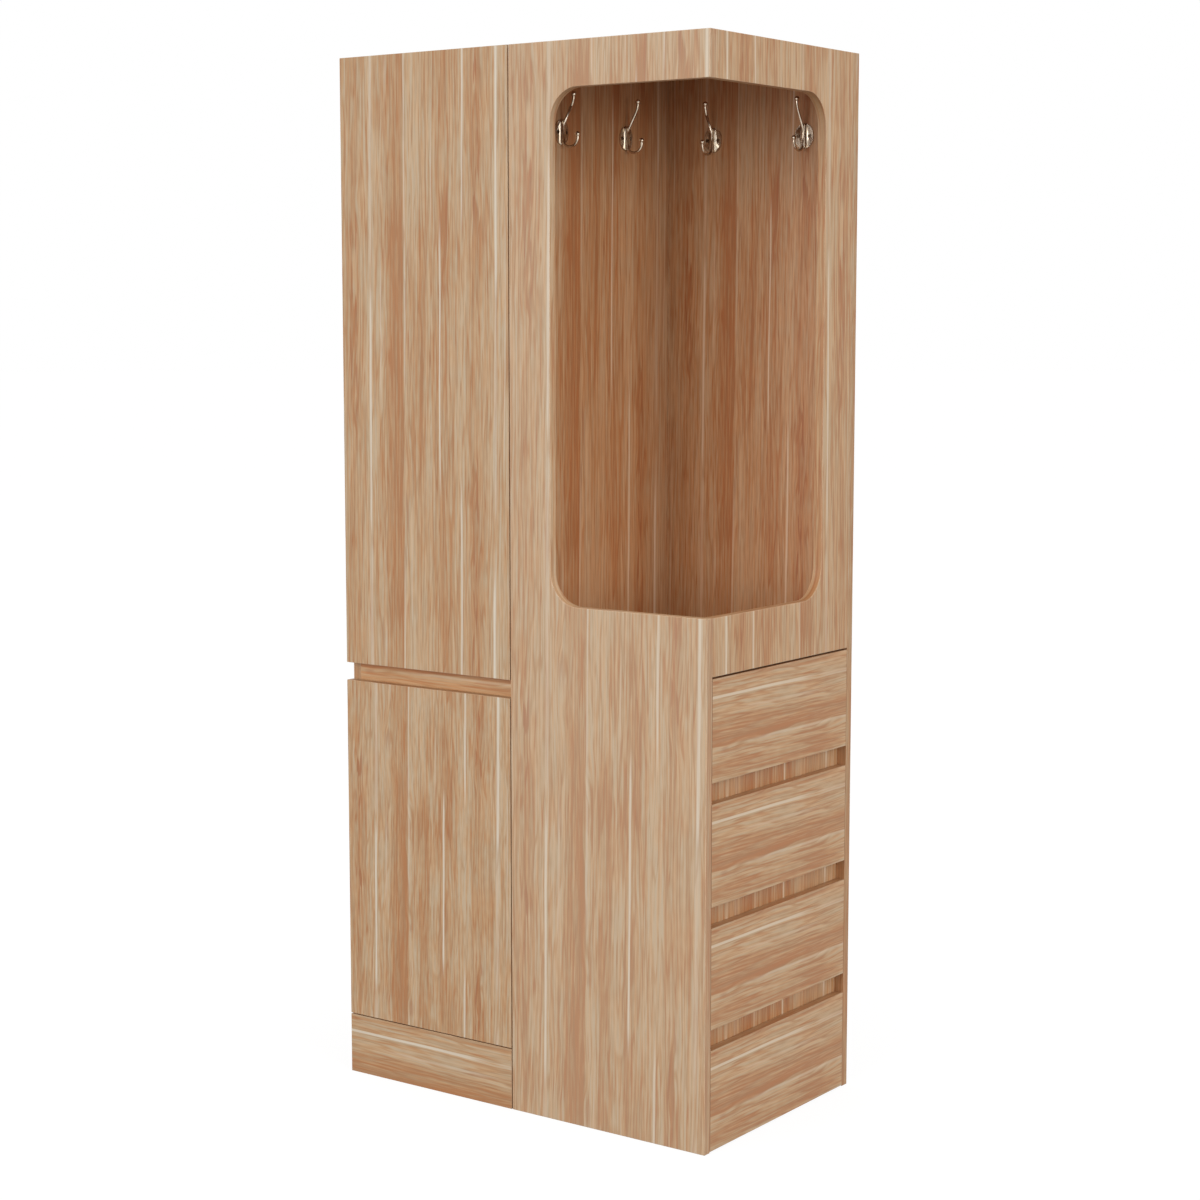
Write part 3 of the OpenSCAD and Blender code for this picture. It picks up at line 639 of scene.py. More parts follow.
class Coat(Wires):
    """The wires of a new material with its shader, which a finish fills in."""

    def __init__(self, name: str, groups: Groups) -> None:
        """Starts the material.

        Args:
            name: The material's name.
            groups: The shared shader groups.
        """
        self.material = bpy.data.materials.new(name)
        self.material.use_nodes = True
        super().__init__(self.material.node_tree)
        self.tree.nodes.clear()
        self.groups = groups
        self.shader = self.node("ShaderNodeBsdfPrincipled")
        self.node("ShaderNodeOutputMaterial", {"Surface": self.shader.outputs[0]})

    def own_place(self) -> Socket:
        """Gives the place in the piece's own coordinates."""
        return self.node("ShaderNodeTexCoord").outputs["Object"]

    def highlit(self, place: Socket, colour: Socket, bare: Colour, **values: float) -> Socket:
        """Lays a painted highlight colour over patches of the eased edges, by the highlight group's Scale and
        Amount.
        """
        wear = self.group(self.groups.wear, {"Place": place, **values})
        return self.colour(wear["Mask"], colour, bare)

    def close(self, colour: Socket, sheen: Socket, height: Socket, middle: float, relief: Relief) -> None:
        """Joins the finish to its shader.

        Args:
            colour: The surface's colour.
            sheen: The noise that its roughness follows.
            height: The noise that its relief follows.
            middle: Its middle roughness.
            relief: How far both go.
        """
        bump = {"Height": height, "Distance": relief.depth, "Strength": relief.strength}
        normal = self.node("ShaderNodeBump", bump).outputs[0]
        rough = self.between(sheen, middle + relief.play, middle - relief.play)
        for name, value in {"Base Color": colour, "Roughness": rough, "Normal": normal}.items():
            self.join(value, self.shader.inputs[name])


@dataclass(frozen=True)
class Finish:
    """What a material is made by.

    Attributes:
        name: The material's name.
        slot: The record's material slot.
    """

    name: str
    slot: str

    def fill(self, coat: Coat) -> None:
        """Fills in the surface, in each kind of finish its own way."""
        raise NotImplementedError

    def build(self, groups: Groups) -> Material:
        """Makes the material.

        Args:
            groups: The shared shader groups.

        Returns:
            The material.
        """
        coat = Coat(self.name, groups)
        self.fill(coat)
        return coat.material


@dataclass(frozen=True)
class Laminate(Finish):
    """Wood-grain laminate on a board.

    Attributes:
        tint: A colour that the whole print is multiplied with.
        tint_share: How much of that colour shows.
        lift: How far the print is paled towards cream.
        contrast: How strongly the grain shows.
        roughness: The sheen's roughness.
        relief: The sheen's play and the grain's relief.
        cream: The colour that the print is paled towards.
        bare: The colour of the painted highlight on its eased edges.
        highlight: How much of that highlight shows.
    """

    slot: str = "woodgrain_laminate"
    tint: Colour = WHITE
    tint_share: float = 1.0
    lift: float = 0.0
    contrast: float = 1.0
    roughness: float = 0.52
    relief: Relief = Relief(0.08, 0.0002, 0.35)
    cream: Colour = srgb(212, 196, 172)
    bare: Colour = srgb(214, 190, 163)
    wear: float = 0.30

    def fill(self, coat: Coat) -> None:
        """Fills in the print by the board's grain map.

        Args:
            coat: The material's wires.
        """
        place = coat.node("ShaderNodeUVMap", uv_map=GRAIN_MAP).outputs["UV"]
        printed = coat.group(coat.groups.wood, {"Place": place, "Contrast": self.contrast})
        colour = coat.colour(self.tint_share, printed["Color"], self.tint, Blend.MULTIPLY)
        colour = coat.colour(self.lift, colour, self.cream)
        # Painted highlight on the eased edges
        colour = coat.highlit(place, colour, self.bare, Amount=self.wear)
        coat.close(colour, printed["Grain"], printed["Grain"], self.roughness, self.relief)


@dataclass(frozen=True)
class PlainBoard(Finish):
    """Pale board or solid wood with fine level fibres.

    Attributes:
        light: The lighter colour.
        dark: The darker colour.
        fibres: How many fibres a metre holds across the grain.
        stretch: How many of them it holds along X, Y and Z, as shares of that.
        roughness: The sheen's roughness.
        relief: The sheen's play and the fibres' relief.
        clouds: How many clouds a metre holds.
        cloud_share: How much of the colour's change is theirs.
        step: The levels between which the dark colour turns light.
        bare: The colour of the painted highlight on its eased edges.
        highlight: How much of that highlight shows.
    """

    light: Colour
    dark: Colour
    fibres: float
    stretch: tuple[float, float, float]
    roughness: float
    relief: Relief = Relief(0.1, 0.00025, 0.4)
    clouds: float = 7.0
    cloud_share: float = 0.3
    step: tuple[float, float] = (0.34, 0.66)
    bare: Colour = srgb(236, 222, 200)
    wear: float = 0.35

    def fill(self, coat: Coat) -> None:
        """Fills in the fibres with broad clouds over them.

        Args:
            coat: The material's wires.
        """
        place = coat.own_place()
        mapping = coat.node("ShaderNodeMapping", {"Vector": place, "Scale": self.stretch})
        fibre = coat.noise(mapping.outputs[0], self.fibres, detail=4.0, roughness=0.62)
        clouds = coat.times(coat.noise(place, self.clouds, detail=2.0), self.cloud_share)
        mixed = coat.plus(coat.times(fibre, 1.0 - self.cloud_share), clouds)
        colour = coat.colour(coat.soft_step(mixed, *self.step), self.dark, self.light)
        # Painted highlight on the eased edges
        colour = coat.highlit(place, colour, self.bare, Amount=self.wear)
        coat.close(colour, fibre, fibre, self.roughness, self.relief)


@dataclass(frozen=True)
class Metal(Finish):
    """Plated or rolled metal, whose eased edges take its light colour as a painted highlight.

    Attributes:
        light: The colour of the bright parts.
        dark: The colour of the dull parts.
        roughness: The sheen's roughness.
        marks: How many drawn marks a metre holds.
        relief: The sheen's play and the marks' relief.
        step: The levels between which the dull colour turns bright.
        highlight: How much of the painted highlight shows on the edges.
        highlight_marks: How many highlight patches a metre holds.
    """

    light: Colour
    dark: Colour
    roughness: float
    marks: float
    relief: Relief = Relief(-0.07, 0.00005, 0.3)
    step: tuple[float, float] = (0.36, 0.62)
    wear: float = 0.6
    highlight_marks: float = 220.0

    def fill(self, coat: Coat) -> None:
        """Fills in the drawn marks.

        Args:
            coat: The material's wires.
        """
        place = coat.own_place()
        plating = coat.group(coat.groups.plating, {"Place": place, "Scale": self.marks})
        colour = coat.colour(coat.soft_step(plating["Tint"], *self.step), self.dark, self.light)
        # Painted highlight on the eased edges, in the metal's light colour
        colour = coat.highlit(place, colour, self.light, Scale=self.highlight_marks, Amount=self.wear)
        coat.shader.inputs["Metallic"].default_value = 1.0
        coat.close(colour, plating["Rough"], plating["Height"], self.roughness, self.relief)


@dataclass(frozen=True)
class Rubber(Finish):
    """Soft clear-grey rubber with darker specks and a pale painted highlight on its edges.

    Attributes:
        colour: Its own colour.
        speck: The colour of its specks.
        bare: The colour of the painted highlight on its eased edges.
        specks: How many specks a metre holds.
        speck_share: How much of their colour shows at most.
        roughness: The sheen's roughness.
        relief: The sheen's play and the specks' relief.
    """

    colour: Colour
    speck: Colour
    bare: Colour
    specks: float = 900.0
    speck_share: float = 0.3
    roughness: float = 0.65
    relief: Relief = Relief(-0.1, 0.0001, 0.3)

    def fill(self, coat: Coat) -> None:
        """Fills in the specks.

        Args:
            coat: The material's wires.
        """
        place = coat.own_place()
        specks = coat.noise(place, self.specks, detail=2.0)
        colour = coat.colour(coat.between(specks, 0.0, self.speck_share), self.colour, self.speck)
        # Painted highlight on the eased edges
        colour = coat.highlit(place, colour, self.bare)
        coat.close(colour, specks, specks, self.roughness, self.relief)


class Look(Enum):
    """The wardrobe's finishes."""

    LAMINATE = Laminate("woodgrain_laminate")
    FRONT = Laminate("woodgrain_front_panel", tint=(1.02, 0.985, 0.96, 1.0), lift=0.14, contrast=1.3)
    SIDE = Laminate("woodgrain_side", tint=(1.03, 0.95, 0.87, 1.0), lift=0.04, contrast=1.3)
    # The mouths' jambs: a brighter copy on the front panel as painted light, a darker, redder one on the side
    # panel as painted shade
    FRONT_JAMB = Laminate("woodgrain_front_jamb_painted_light", tint=(1.12, 1.03, 0.92, 1.0), lift=0.14, contrast=1.3)
    SIDE_JAMB = Laminate("woodgrain_side_jamb_painted_shade", tint=(0.97, 0.83, 0.68, 1.0), lift=0.04, contrast=1.3)
    MIDDLE_RAIL = Laminate("woodgrain_middle_rail", tint=(1.12, 1.0, 0.86, 1.0), contrast=0.8)
    # Darker, redder copies of the laminate for the faces inside the niche: painted niche shade
    NICHE_SHADE = Laminate("woodgrain_niche_shade", tint=(0.95, 0.785, 0.665, 1.0))
    BACK_LINING = Laminate("woodgrain_back_niche_shade", tint=(1.05, 0.875, 0.745, 1.0))
    # A darker, warmer copy of the laminate for the rails in the grooves between the drawer fronts: painted
    # shade
    RECESS_SHADE = Laminate("woodgrain_recess_shade", tint=srgb(252, 226, 198), tint_share=0.6, contrast=0.9)
    DRAWER_BOARD = PlainBoard(
        "drawer_board", "drawer_board", srgb(222, 201, 170), srgb(206, 180, 146), 260.0, (1.0, 0.04, 1.0), 0.6
    )
    BACK_BOARD = PlainBoard(
        "back_board", "drawer_board", srgb(214, 190, 158), srgb(196, 166, 132), 300.0, (1.0, 1.0, 0.05), 0.62
    )
    BEECH = PlainBoard(
        "beech", "beech", srgb(216, 178, 132), srgb(188, 143, 98), 420.0, (1.0, 1.0, 0.05), 0.55
    )
    NICKEL = Metal("hook_nickel", "hook_nickel", srgb(210, 196, 178), srgb(168, 150, 128), 0.24, 700.0)
    SCREW = Metal("hook_screw_nickel", "fitting_steel", srgb(112, 90, 70), srgb(70, 54, 42), 0.36, 900.0)
    CHROME = Metal("rail_chrome", "rail_chrome", srgb(216, 218, 222), srgb(190, 193, 198), 0.14, 500.0)
    STEEL = Metal("fitting_steel", "fitting_steel", srgb(198, 200, 203), srgb(160, 163, 168), 0.33, 1200.0)
    RUBBER = Rubber(
        "bumper_rubber", "bumper_rubber", srgb(214, 212, 205), srgb(150, 148, 142), srgb(235, 234, 230)
    )


class Palette:
    """The material of each look."""

    def __init__(self) -> None:
        """Makes each material once."""
        groups = Groups()
        self.materials = {look: look.value.build(groups) for look in Look}


def show(name: str, data: bpy.types.ID) -> bpy.types.Object:
    """Adds an object to the scene.

    Args:
        name: Its name.
        data: Its mesh, lamp or camera.

    Returns:
        The object.
    """
    made = bpy.data.objects.new(name, data)
    bpy.context.scene.collection.objects.link(made)
    return made


def merged_copy(node: str) -> bmesh.types.BMesh:
    """Copies a CAD node's mesh as closed faces.

    Args:
        node: The node's name.

    Returns:
        The copy, with doubles merged and flat triangles joined.
    """
    bm = bmesh.new()
    bm.from_mesh(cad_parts[node].data)
    bmesh.ops.remove_doubles(bm, verts=bm.verts, dist=MERGE)
    bmesh.ops.dissolve_limit(bm, angle_limit=FLAT, verts=bm.verts, edges=bm.edges)
    bmesh.ops.recalc_face_normals(bm, faces=bm.faces)
    return bm


def ease_edges(
    bm: bmesh.types.BMesh, width: float, wanted: Callable[[bmesh.types.BMEdge], bool]
) -> None:
    """Rounds the sharp edges that are wanted and marks the new faces.

    Args:
        bm: The mesh.
        width: How far an edge is cut back.
        wanted: Says whether a sharp edge is eased.
    """
    mark = bm.faces.layers.float.new(RIM_MARK)
    sharp = [e for e in bm.edges if len(e.link_faces) == 2 and e.calc_face_angle(0.0) > SHARP]
    made = bmesh.ops.bevel(
        bm,
        geom=[e for e in sharp if wanted(e)],
        offset=width,
        offset_type="OFFSET",
        affect="EDGES",
        segments=2,
        profile=0.5,
        clamp_overlap=True,
        material=-1,
    )
    for face in made["faces"]:
        face[mark] = 1.0


def finish_piece(
    bm: bmesh.types.BMesh,
    node: str,
    body: str,
    palette: Palette,
    looks: list[Look],
    flat_over: float = math.inf,
) -> None:
    """Turns a mesh into the piece that stands for a CAD node.

    Args:
        bm: The mesh, in the frame's coordinates, which is freed.
        node: The node's name.
        body: The CAD body that the piece rides on.
        palette: The wardrobe's materials.
        looks: The piece's looks, in the order of its faces' material indices.
        flat_over: The area over which a face is shaded flat, so that its eased edges don't tint it.
    """
    name = f"{node}_dressed"
    mesh = bpy.data.meshes.new(name)
    bm.to_mesh(mesh)
    bm.free()
    for look in looks:
        mesh.materials.append(palette.materials[look])
    mesh.shade_smooth()
    mesh.set_sharp_from_angle(angle=SHARP)
    for polygon in mesh.polygons:
        polygon.use_smooth = polygon.area < flat_over
    made = show(name, mesh)
    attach(made, body)
    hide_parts(node)
    log.info("%s: %d faces on %s", name, len(mesh.polygons), body)


@dataclass(frozen=True)
class PrintPlace:
    """Where a board's width and length fall on the print.

    Attributes:
        across: The coordinate at which the print's left edge lies.
        along: The coordinate at which the print's foot lies.
        stretch: How much larger the print is than on the doors.
        mirrored: Whether the print runs backwards across the board.
        edge: The place on the print that the board's edges show.
        pitch: The distance after which the print starts anew along the grain, or 0 for never.
        start: The place along the print that the board's foot shows.
        length: How much longer still the print is along the grain.
    """

    across: float = 0.0
    along: float = 0.0
    stretch: float = 1.0
    mirrored: bool = False
    edge: float = 0.120
    pitch: float = 0.0
    start: float = 0.0
    length: float = 1.0


@dataclass(frozen=True)
class Mouth:
    """The jamb of a board's rounded mouth, which the print's lines follow round its corners.

    Attributes:
        jamb: The jamb's coordinate across the board.
        side: The direction that the jamb faces, 1 or -1.
        edge: The place on the print that the jamb shows.
    """

    jamb: float
    side: int
    edge: float = 0.090


@dataclass(frozen=True)
class Board:
    """A board that stands for its CAD node.

    Attributes:
        node: The CAD node.
        thick: The axis through the board.
        grain: The axis along the print.
        place: Where the board lies on the print.
        look: The board's look.
        painted_light_look: The look of its niche side, with painted shade, or of its mouth's jamb, with
            painted light on the front panel and painted shade on the side panel.
        shaded_side: The side that faces the niche and takes the painted shade, 1 or -1 along the thickness,
            or 0 for none.
        mouth: The board's mouth, where it has one.
        ease: How far the edges are rounded.
        least_wall: The area under which a face is a bore's, whose edges stay sharp.
    """

    node: str
    thick: Axis
    grain: Axis
    place: PrintPlace = PrintPlace()
    look: Look = Look.LAMINATE
    painted_light_look: Look = Look.NICHE_SHADE
    shaded_side: int = 0
    mouth: Mouth | None = None
    ease: float = 0.0006
    least_wall: float = 45e-6

    def lay_print(self, bm: bmesh.types.BMesh) -> None:
        """Maps the faces so that the print runs along the board, and marks the faces that take the niche's
        painted shade and the jamb's painted light and shade.

        Args:
            bm: The board's mesh.
        """
        layer = bm.loops.layers.uv.new(GRAIN_MAP)
        width = next(a for a in Axis if a not in (self.thick, self.grain))
        low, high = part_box(self.node)
        place = self.place
        sign = -1.0 if place.mirrored else 1.0
        for face in bm.faces:
            normal = face.normal
            facing = max(Axis, key=lambda a: abs(normal[a]))
            bend = 0.0
            edge = place.edge
            if self.mouth and facing != self.thick:
                bend = -math.copysign(self.mouth.side, normal[self.grain])
                centre = face.calc_center_median()
                # Jamb faces take the jamb look: painted light on the front panel, painted shade on the side
                # panel
                if all(low[a] + RIM < centre[a] < high[a] - RIM for a in (width, self.grain)):
                    edge = self.mouth.edge
                    face.material_index = 1
            # Faces towards the niche take the painted niche shade
            if normal[self.thick] * self.shaded_side > SHADED_SIDE_LEAST:
                face.material_index = 1
            for loop in face.loops:
                co = loop.vert.co
                if facing == self.thick:
                    across = sign * (co[width] - place.across) / place.stretch
                    along = co[self.grain]
                else:
                    across = edge + co[self.thick] - low[self.thick]
                    along = co[self.grain] if facing == width else co[width]
                    if self.mouth:
                        along = co[self.grain] + bend * (co[width] - self.mouth.jamb)
                along -= place.along
                if place.pitch:
                    along %= place.pitch
                loop[layer].uv = (across, place.start + along / (place.stretch * place.length))

    def mesh(self) -> bmesh.types.BMesh:
        """Makes the board's mesh, with eased edges and its place on the print.

        Returns:
            The mesh.
        """
        bm = merged_copy(self.node)
        ease_edges(bm, self.ease, lambda e: min(f.calc_area() for f in e.link_faces) > self.least_wall)
        self.lay_print(bm)
        return bm

    def looks(self) -> list[Look]:
        """Lists the board's looks, the one with painted light and shade last, where it has one."""
        return [self.look, self.painted_light_look] if self.shaded_side or self.mouth else [self.look]


class SubAssembly:
    """A part of the wardrobe that is made of boards and fittings.

    Attributes:
        body: The CAD body that they ride on.
    """

    body: str

    def boards(self) -> list[Board]:
        """Lists its boards, from the outside in."""
        return []

    def fittings(self) -> dict[str, Look]:
        """Lists its fittings by their nodes, each with its look."""
        return {}

    def build(self, palette: Palette) -> None:
        """Makes its pieces.

        Args:
            palette: The wardrobe's materials.
        """
        for board in self.boards():
            finish_piece(board.mesh(), board.node, self.body, palette, board.looks(), board.least_wall)
        for node, look in self.fittings().items():
            finish_piece(merged_copy(node), node, self.body, palette, [look])


@dataclass
class Cupboard(SubAssembly):
    """The closed cupboard on the left: its boards, plinth, rail and back.

    Attributes:
        left: Its left side.
        front: The boards' front edges.
        level_stretch: How much larger the print is where the grain lies level.
        level_foot: The place along the print at which such a board starts.
        level_top: The place across the print that its upper edge shows.
        rail_drop: How much further down the print the middle rail lies.
        shelf_step: How far across and along the print moves from each shelf to the next.
    """

    body = "carcass"
    left: float = field(default_factory=lambda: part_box("left_side_panel")[0].x)
    front: float = field(default_factory=lambda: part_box("left_side_panel")[0].y)
    level_stretch: float = 1.08
    level_foot: float = 0.150
    level_top: float = 0.0325
    rail_drop: float = 0.10
    shelf_step: tuple[float, float] = (0.04, 0.1)

    def level_place(self, start: float, top: float) -> PrintPlace:
        """Places the print with its grain level, by the board's left end and upper edge."""
        stretch = self.level_stretch
        return PrintPlace(top + self.level_top, start - self.level_foot * stretch, stretch, mirrored=True)

    def boards(self) -> list[Board]:
        """Lists the cupboard's boards.

        Returns:
            The boards, from the outside in.
        """
        across, along = self.shelf_step
        shelves = [
            Board(node, Axis.Z, Axis.X, PrintPlace(self.front + across * at, along * at))
            for at, node in enumerate(("cabinet_top", "fixed_shelf", "loose_shelf", "cabinet_floor"))
        ]
        plinth = self.level_place(self.left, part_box("plinth")[1].z)
        rail = self.level_place(self.left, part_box("middle_rail")[1].z + self.rail_drop)
        return [
            Board("left_side_panel", Axis.X, Axis.Z, PrintPlace(self.front, along=0.2)),
            Board("partition_panel", Axis.X, Axis.Z, PrintPlace(self.front, stretch=1.15), shaded_side=1),
            *shelves,
            Board("plinth", Axis.Y, Axis.X, plinth),
            Board("middle_rail", Axis.Y, Axis.X, rail, Look.MIDDLE_RAIL),
            Board("plinth_blocks", Axis.Y, Axis.Z, look=Look.BEECH),
            Board("cabinet_back", Axis.Y, Axis.Z, look=Look.BACK_BOARD),
        ]


@dataclass
class CornerNiche(SubAssembly):
    """The open coat niche and the case round the drawers.

    Attributes:
        left: The front panel's left edge.
        front: The front panel's face.
        back: The back panel's rear side.
        front_stile: How wide the front panel is beside its mouth.
        rear_stile: How wide the side panel is beside its mouth.
        mouth_ease: How far the edges of both panels are rounded.
        edge: The place on the print that its upright panels' edges show.
        front_shift: How far right of its left edge the front panel's print starts.
        side_shift: How far behind its front edge the side panel's print starts, which runs forward.
        back_shift: How far right of the front panel's left edge the back panel's print starts.
        rail_shift: How far behind the front edge the drawer rails' print starts.
        rail_drop: How far below the rails it starts.
    """

    body = "carcass"
    left: float = field(default_factory=lambda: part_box("front_panel")[0].x)
    front: float = field(default_factory=lambda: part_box("front_panel")[0].y)
    back: float = field(default_factory=lambda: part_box("back_panel")[1].y)
    front_stile: float = 0.094
    rear_stile: float = 0.119
    mouth_ease: float = 0.0011
    edge: float = 0.104
    front_shift: float = 0.0124
    side_shift: float = 0.488
    back_shift: float = 0.043
    rail_shift: float = 0.025
    rail_drop: float = 0.03

    def panel(self, node: str, thick: Axis, place: PrintPlace, look: Look, mouth: Mouth) -> Board:
        """Gives a panel that the mouth of the niche is cut through."""
        # The jamb look paints light on the front panel's jamb and shade on the side panel's
        painted_light_look = Look[f"{look.name}_JAMB"]
        return Board(node, thick, Axis.Z, place, look, painted_light_look, mouth=mouth, ease=self.mouth_ease)

    def boards(self) -> list[Board]:
        """Lists the niche's boards.

        Returns:
            The boards, from the outside in.
        """
        front = PrintPlace(self.left + self.front_shift, 0.075, 1.11, edge=self.edge)
        side = PrintPlace(self.front + self.side_shift, -0.15, 1.143, mirrored=True, edge=self.edge)
        back = PrintPlace(self.left + self.back_shift, 0.25, 0.88, edge=self.edge)
        front_mouth = Mouth(self.left + self.front_stile, 1)
        side_mouth = Mouth(self.back - self.rear_stile, -1, edge=0.100)
        pitch = abs(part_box("drawer_1_front")[0].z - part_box("drawer_2_front")[0].z)
        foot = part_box("drawer_rails")[0].z - self.rail_drop
        rails = PrintPlace(self.front + self.rail_shift, foot, stretch=1.15, pitch=pitch, start=0.41)
        return [
            self.panel("front_panel", Axis.Y, front, Look.FRONT, front_mouth),
            self.panel("corner_side_panel", Axis.X, side, Look.SIDE, side_mouth),
            Board("back_panel", Axis.Y, Axis.Z, back, painted_light_look=Look.BACK_LINING, shaded_side=-1),
            Board("niche_top", Axis.Z, Axis.X, PrintPlace(self.front), shaded_side=-1),
            Board("niche_floor", Axis.Z, Axis.X, PrintPlace(self.front + 0.1), shaded_side=1),
            Board("base_panel", Axis.Z, Axis.X, PrintPlace(self.front)),
            # The rails in the grooves take the painted recess shade
            Board("drawer_rails", Axis.X, Axis.Z, rails, Look.RECESS_SHADE),
        ]


@dataclass
class Door(SubAssembly):
    """One door of the cupboard with its hinge cups and bumpers.

    Attributes:
        body: The door's name, which its board has too.
        foot: The height at which the print's foot lies.
        inset: How far right of the door's left edge the print starts.
        length: How much longer the print is along the grain.
    """

    body: str
    foot: float = 0.0
    inset: float = 0.0
    length: float = 1.0

    def boards(self) -> list[Board]:
        """Gives the door's one board."""
        place = PrintPlace(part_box(self.body)[0].x + self.inset, self.foot, length=self.length)
        return [Board(self.body, Axis.Y, Axis.Z, place)]

    def fittings(self) -> dict[str, Look]:
        """Lists the parts of the hinges that turn with the door, and its bumpers."""
        cups = self.body.replace("door", "hinge_cups")
        return {cups: Look.STEEL, f"{self.body}_bumpers": Look.RUBBER}


@dataclass
class Drawer(SubAssembly):
    """One drawer: its front, box and slides.

    Attributes:
        body: The drawer's name, with which its nodes' names start.
        cupboard: The cupboard, whose level print the drawer's front repeats.
    """

    body: str
    cupboard: Cupboard

    def boards(self) -> list[Board]:
        """Lists the drawer's boards.

        Returns:
            The front and the three parts of the box.
        """
        front = f"{self.body}_front"
        low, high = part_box(front)
        parts = {"sides": (Axis.Y, Axis.X), "end": (Axis.X, Axis.Y), "bottom": (Axis.Z, Axis.X)}
        return [
            Board(front, Axis.X, Axis.Y, self.cupboard.level_place(low.y, high.z), Look.SIDE),
            *(Board(f"{self.body}_{part}", *axes, look=Look.DRAWER_BOARD) for part, axes in parts.items()),
        ]

    def fittings(self) -> dict[str, Look]:
        """Lists the drawer's slides."""
        return {f"{self.body}_slides": Look.STEEL}


class FixedFittings(SubAssembly):
    """The metal and wood fittings of the carcass."""

    body = "carcass"

    def fittings(self) -> dict[str, Look]:
        """Lists the coat hooks and the carcass's fittings.

        Returns:
            The look of each node.
        """
        hooks = [f"coat_hook_{number}" for number in range(1, 5)]
        steel = ["runner_channels", "hinge_arms", "hinge_plates", "hinge_screws", "hinge_pins"]
        steel += ["cam_locks", "cam_bolts", "shelf_pins"]
        looks = dict.fromkeys(hooks, Look.NICKEL) | dict.fromkeys(steel, Look.STEEL)
        looks |= dict.fromkeys(("hanging_rail", "hanging_rail_flanges"), Look.CHROME)
        return looks | {"hook_screws": Look.SCREW, "panel_dowels": Look.BEECH}


def set_up(made: bpy.types.Object, place: tuple[float, float, float], way: Vector) -> None:
    """Puts a lamp or a camera at its place and turns it.

    Args:
        made: The lamp or the camera.
        place: Where it stands.
        way: The direction in which it looks.
    """
    made.location = place
    made.rotation_mode = "QUATERNION"
    made.rotation_quaternion = way.to_track_quat("-Z", "Y")


@dataclass(frozen=True)
class Softbox:
    """A large square lamp.

    Attributes:
        name: Its name.
        place: Its middle.
        aim: The point that it faces.
        size: The length of its sides.
        power: Its power in watts.
    """

    name: str
    place: tuple[float, float, float]
    aim: tuple[float, float, float]
    size: float
    power: float

    def build(self) -> None:
        """Adds the lamp to the scene."""
        lamp = bpy.data.lights.new(self.name, "AREA")
        lamp.shape = "SQUARE"
        lamp.size = self.size
        lamp.energy = self.power
        set_up(show(self.name, lamp), self.place, Vector(self.aim) - Vector(self.place))


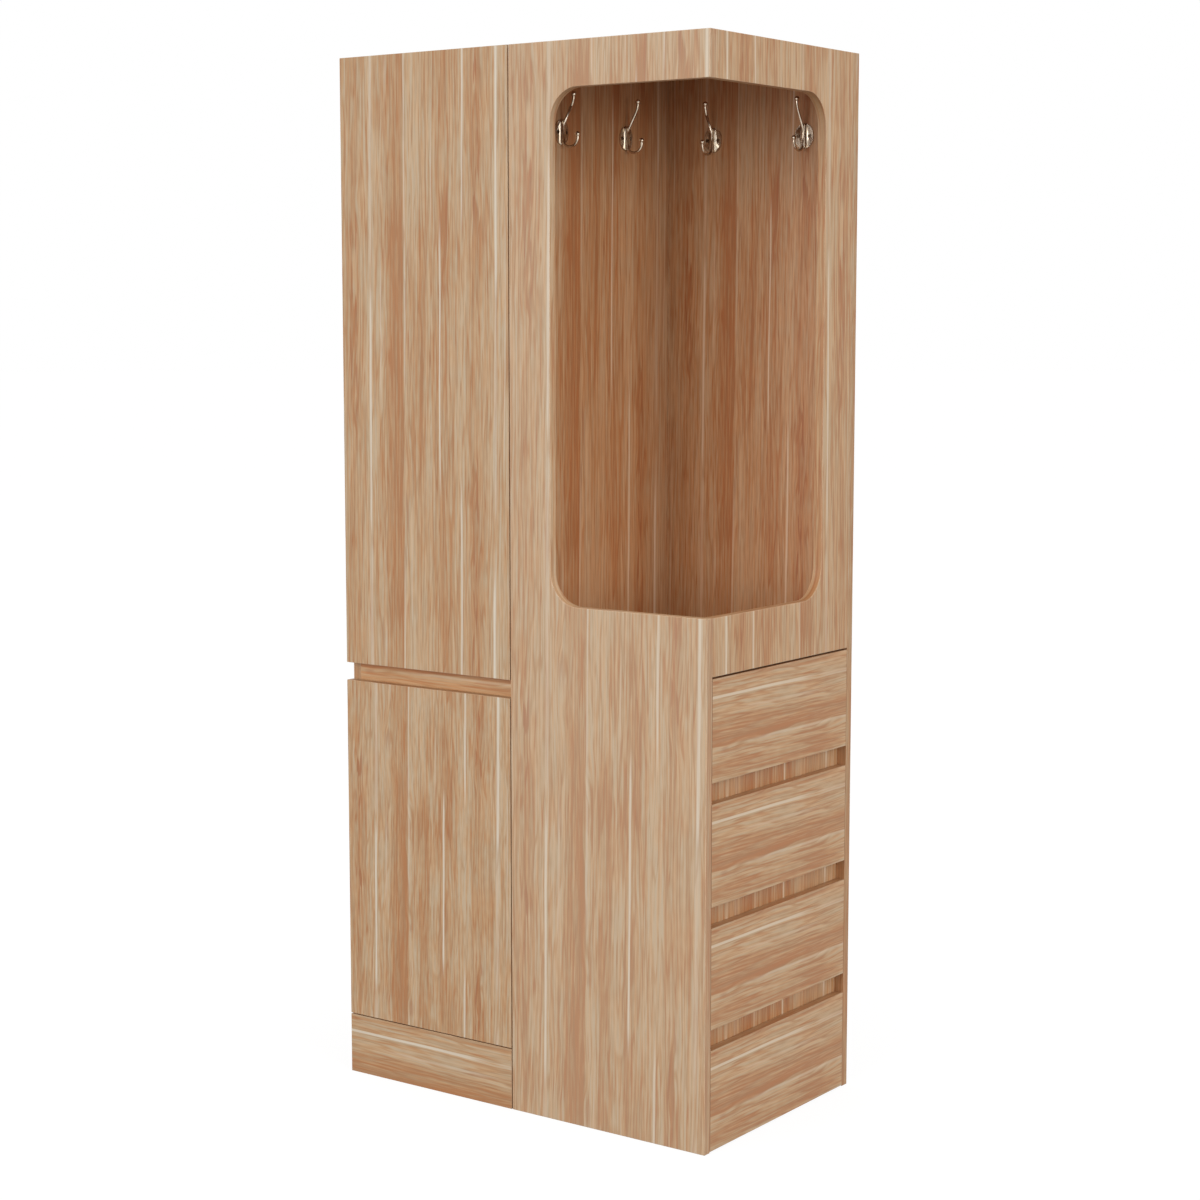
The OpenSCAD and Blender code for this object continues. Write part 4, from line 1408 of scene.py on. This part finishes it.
@dataclass(frozen=True)
class Studio:
    """The pale floor, the white surroundings and the soft lamps.

    Attributes:
        floor_radius: The radius of the round floor.
        ambient: How bright the surroundings are as light.
        floor_glow: How bright the floor is to the eye by itself.
        floor_grey: How much of the light it throws back besides.
        lamps: The lamps.
    """

    floor_radius: float = 60.0
    ambient: float = 0.75
    floor_glow: float = 0.89
    floor_grey: float = 0.15
    lamps: tuple[Softbox, ...] = (
        Softbox("front_softbox", (-1.0, -8.0, 2.4), (0.0, 0.0, 0.8), 5.0, 305.0),
        Softbox("right_softbox", (8.0, -1.6, 2.6), (0.0, 0.0, 0.8), 5.0, 284.0),
    )

    def world(self) -> None:
        """Makes the surroundings white to the eye and dimmer as light."""
        world = bpy.data.worlds.new("studio")
        bpy.context.scene.world = world
        world.use_nodes = True
        world.node_tree.nodes.clear()
        wires = Wires(world.node_tree)
        strength = wires.between(self.seen(wires), self.ambient, 1.0)
        light = wires.node("ShaderNodeBackground", {"Color": WHITE, "Strength": strength})
        wires.node("ShaderNodeOutputWorld", {"Surface": light.outputs[0]})

    @staticmethod
    def seen(wires: Wires) -> Socket:
        """Finds the rays that look at the surroundings, straight or in metal or glass.

        Args:
            wires: The wires of the tree that asks.

        Returns:
            A socket that is 1 for such a ray.
        """
        path = wires.node("ShaderNodeLightPath").outputs
        both = wires.plus(path["Is Camera Ray"], path["Is Glossy Ray"])
        return wires.math("ADD", both, path["Is Transmission Ray"], clamp=True)

    def floor(self) -> None:
        """Lays the round floor, which is white but keeps a soft shadow."""
        bm = bmesh.new()
        bmesh.ops.create_circle(bm, cap_ends=True, segments=96, radius=self.floor_radius)
        mesh = bpy.data.meshes.new("floor")
        bm.to_mesh(mesh)
        bm.free()
        material = bpy.data.materials.new("floor_white")
        material.use_nodes = True
        material.node_tree.nodes.clear()
        wires = Wires(material.node_tree)
        grey = (self.floor_grey,) * 3 + (1.0,)
        matt = wires.node("ShaderNodeBsdfDiffuse", {"Color": grey})
        glow = wires.times(self.seen(wires), self.floor_glow)
        white = wires.node("ShaderNodeEmission", {"Color": WHITE, "Strength": glow})
        both = wires.node("ShaderNodeAddShader", {0: matt.outputs[0], 1: white.outputs[0]})
        wires.node("ShaderNodeOutputMaterial", {"Surface": both.outputs[0]})
        mesh.materials.append(material)
        show("floor", mesh)

    def build(self) -> None:
        """Adds the surroundings, the floor and the lamps."""
        self.world()
        self.floor()
        for lamp in self.lamps:
            lamp.build()


@dataclass(frozen=True)
class Viewpoint:
    """The camera at the photograph's viewing angle.

    Attributes:
        place: Where it stands.
        azimuth: How far it stands round to the right of the front, in degrees.
        pitch: How far it looks down, in degrees.
        lens: Its focal length in millimetres.
        sensor: The width of its sensor in millimetres.
    """

    place: tuple[float, float, float] = (2.742, -3.778, 1.515)
    azimuth: float = 35.9
    pitch: float = 6.79
    lens: float = 72.31
    sensor: float = 36.0

    def build(self) -> None:
        """Adds the camera and makes it the scene's own."""
        camera = bpy.data.cameras.new("viewpoint")
        camera.lens = self.lens
        camera.sensor_width = self.sensor
        made = show("viewpoint", camera)
        turn, drop = math.radians(self.azimuth), math.radians(self.pitch)
        back = Vector((math.sin(turn) * math.cos(drop), -math.cos(turn) * math.cos(drop), math.sin(drop)))
        set_up(made, self.place, -back)
        bpy.context.scene.camera = made


def main() -> None:
    """Builds the camera, the studio and the wardrobe's pieces."""
    logging.basicConfig(level=logging.INFO, format="%(name)s: %(message)s")
    bpy.context.scene.view_settings.view_transform = "Standard"
    Viewpoint().build()
    Studio().build()
    palette = Palette()
    cupboard = Cupboard()
    parts = [
        cupboard,
        CornerNiche(),
        Door("upper_door"),
        Door("lower_door", foot=0.184, inset=0.008, length=0.71),
        *(Drawer(f"drawer_{number}", cupboard) for number in range(1, 5)),
        FixedFittings(),
    ]
    for part in parts:
        part.build(palette)


if __name__ == "__main__":
    main()
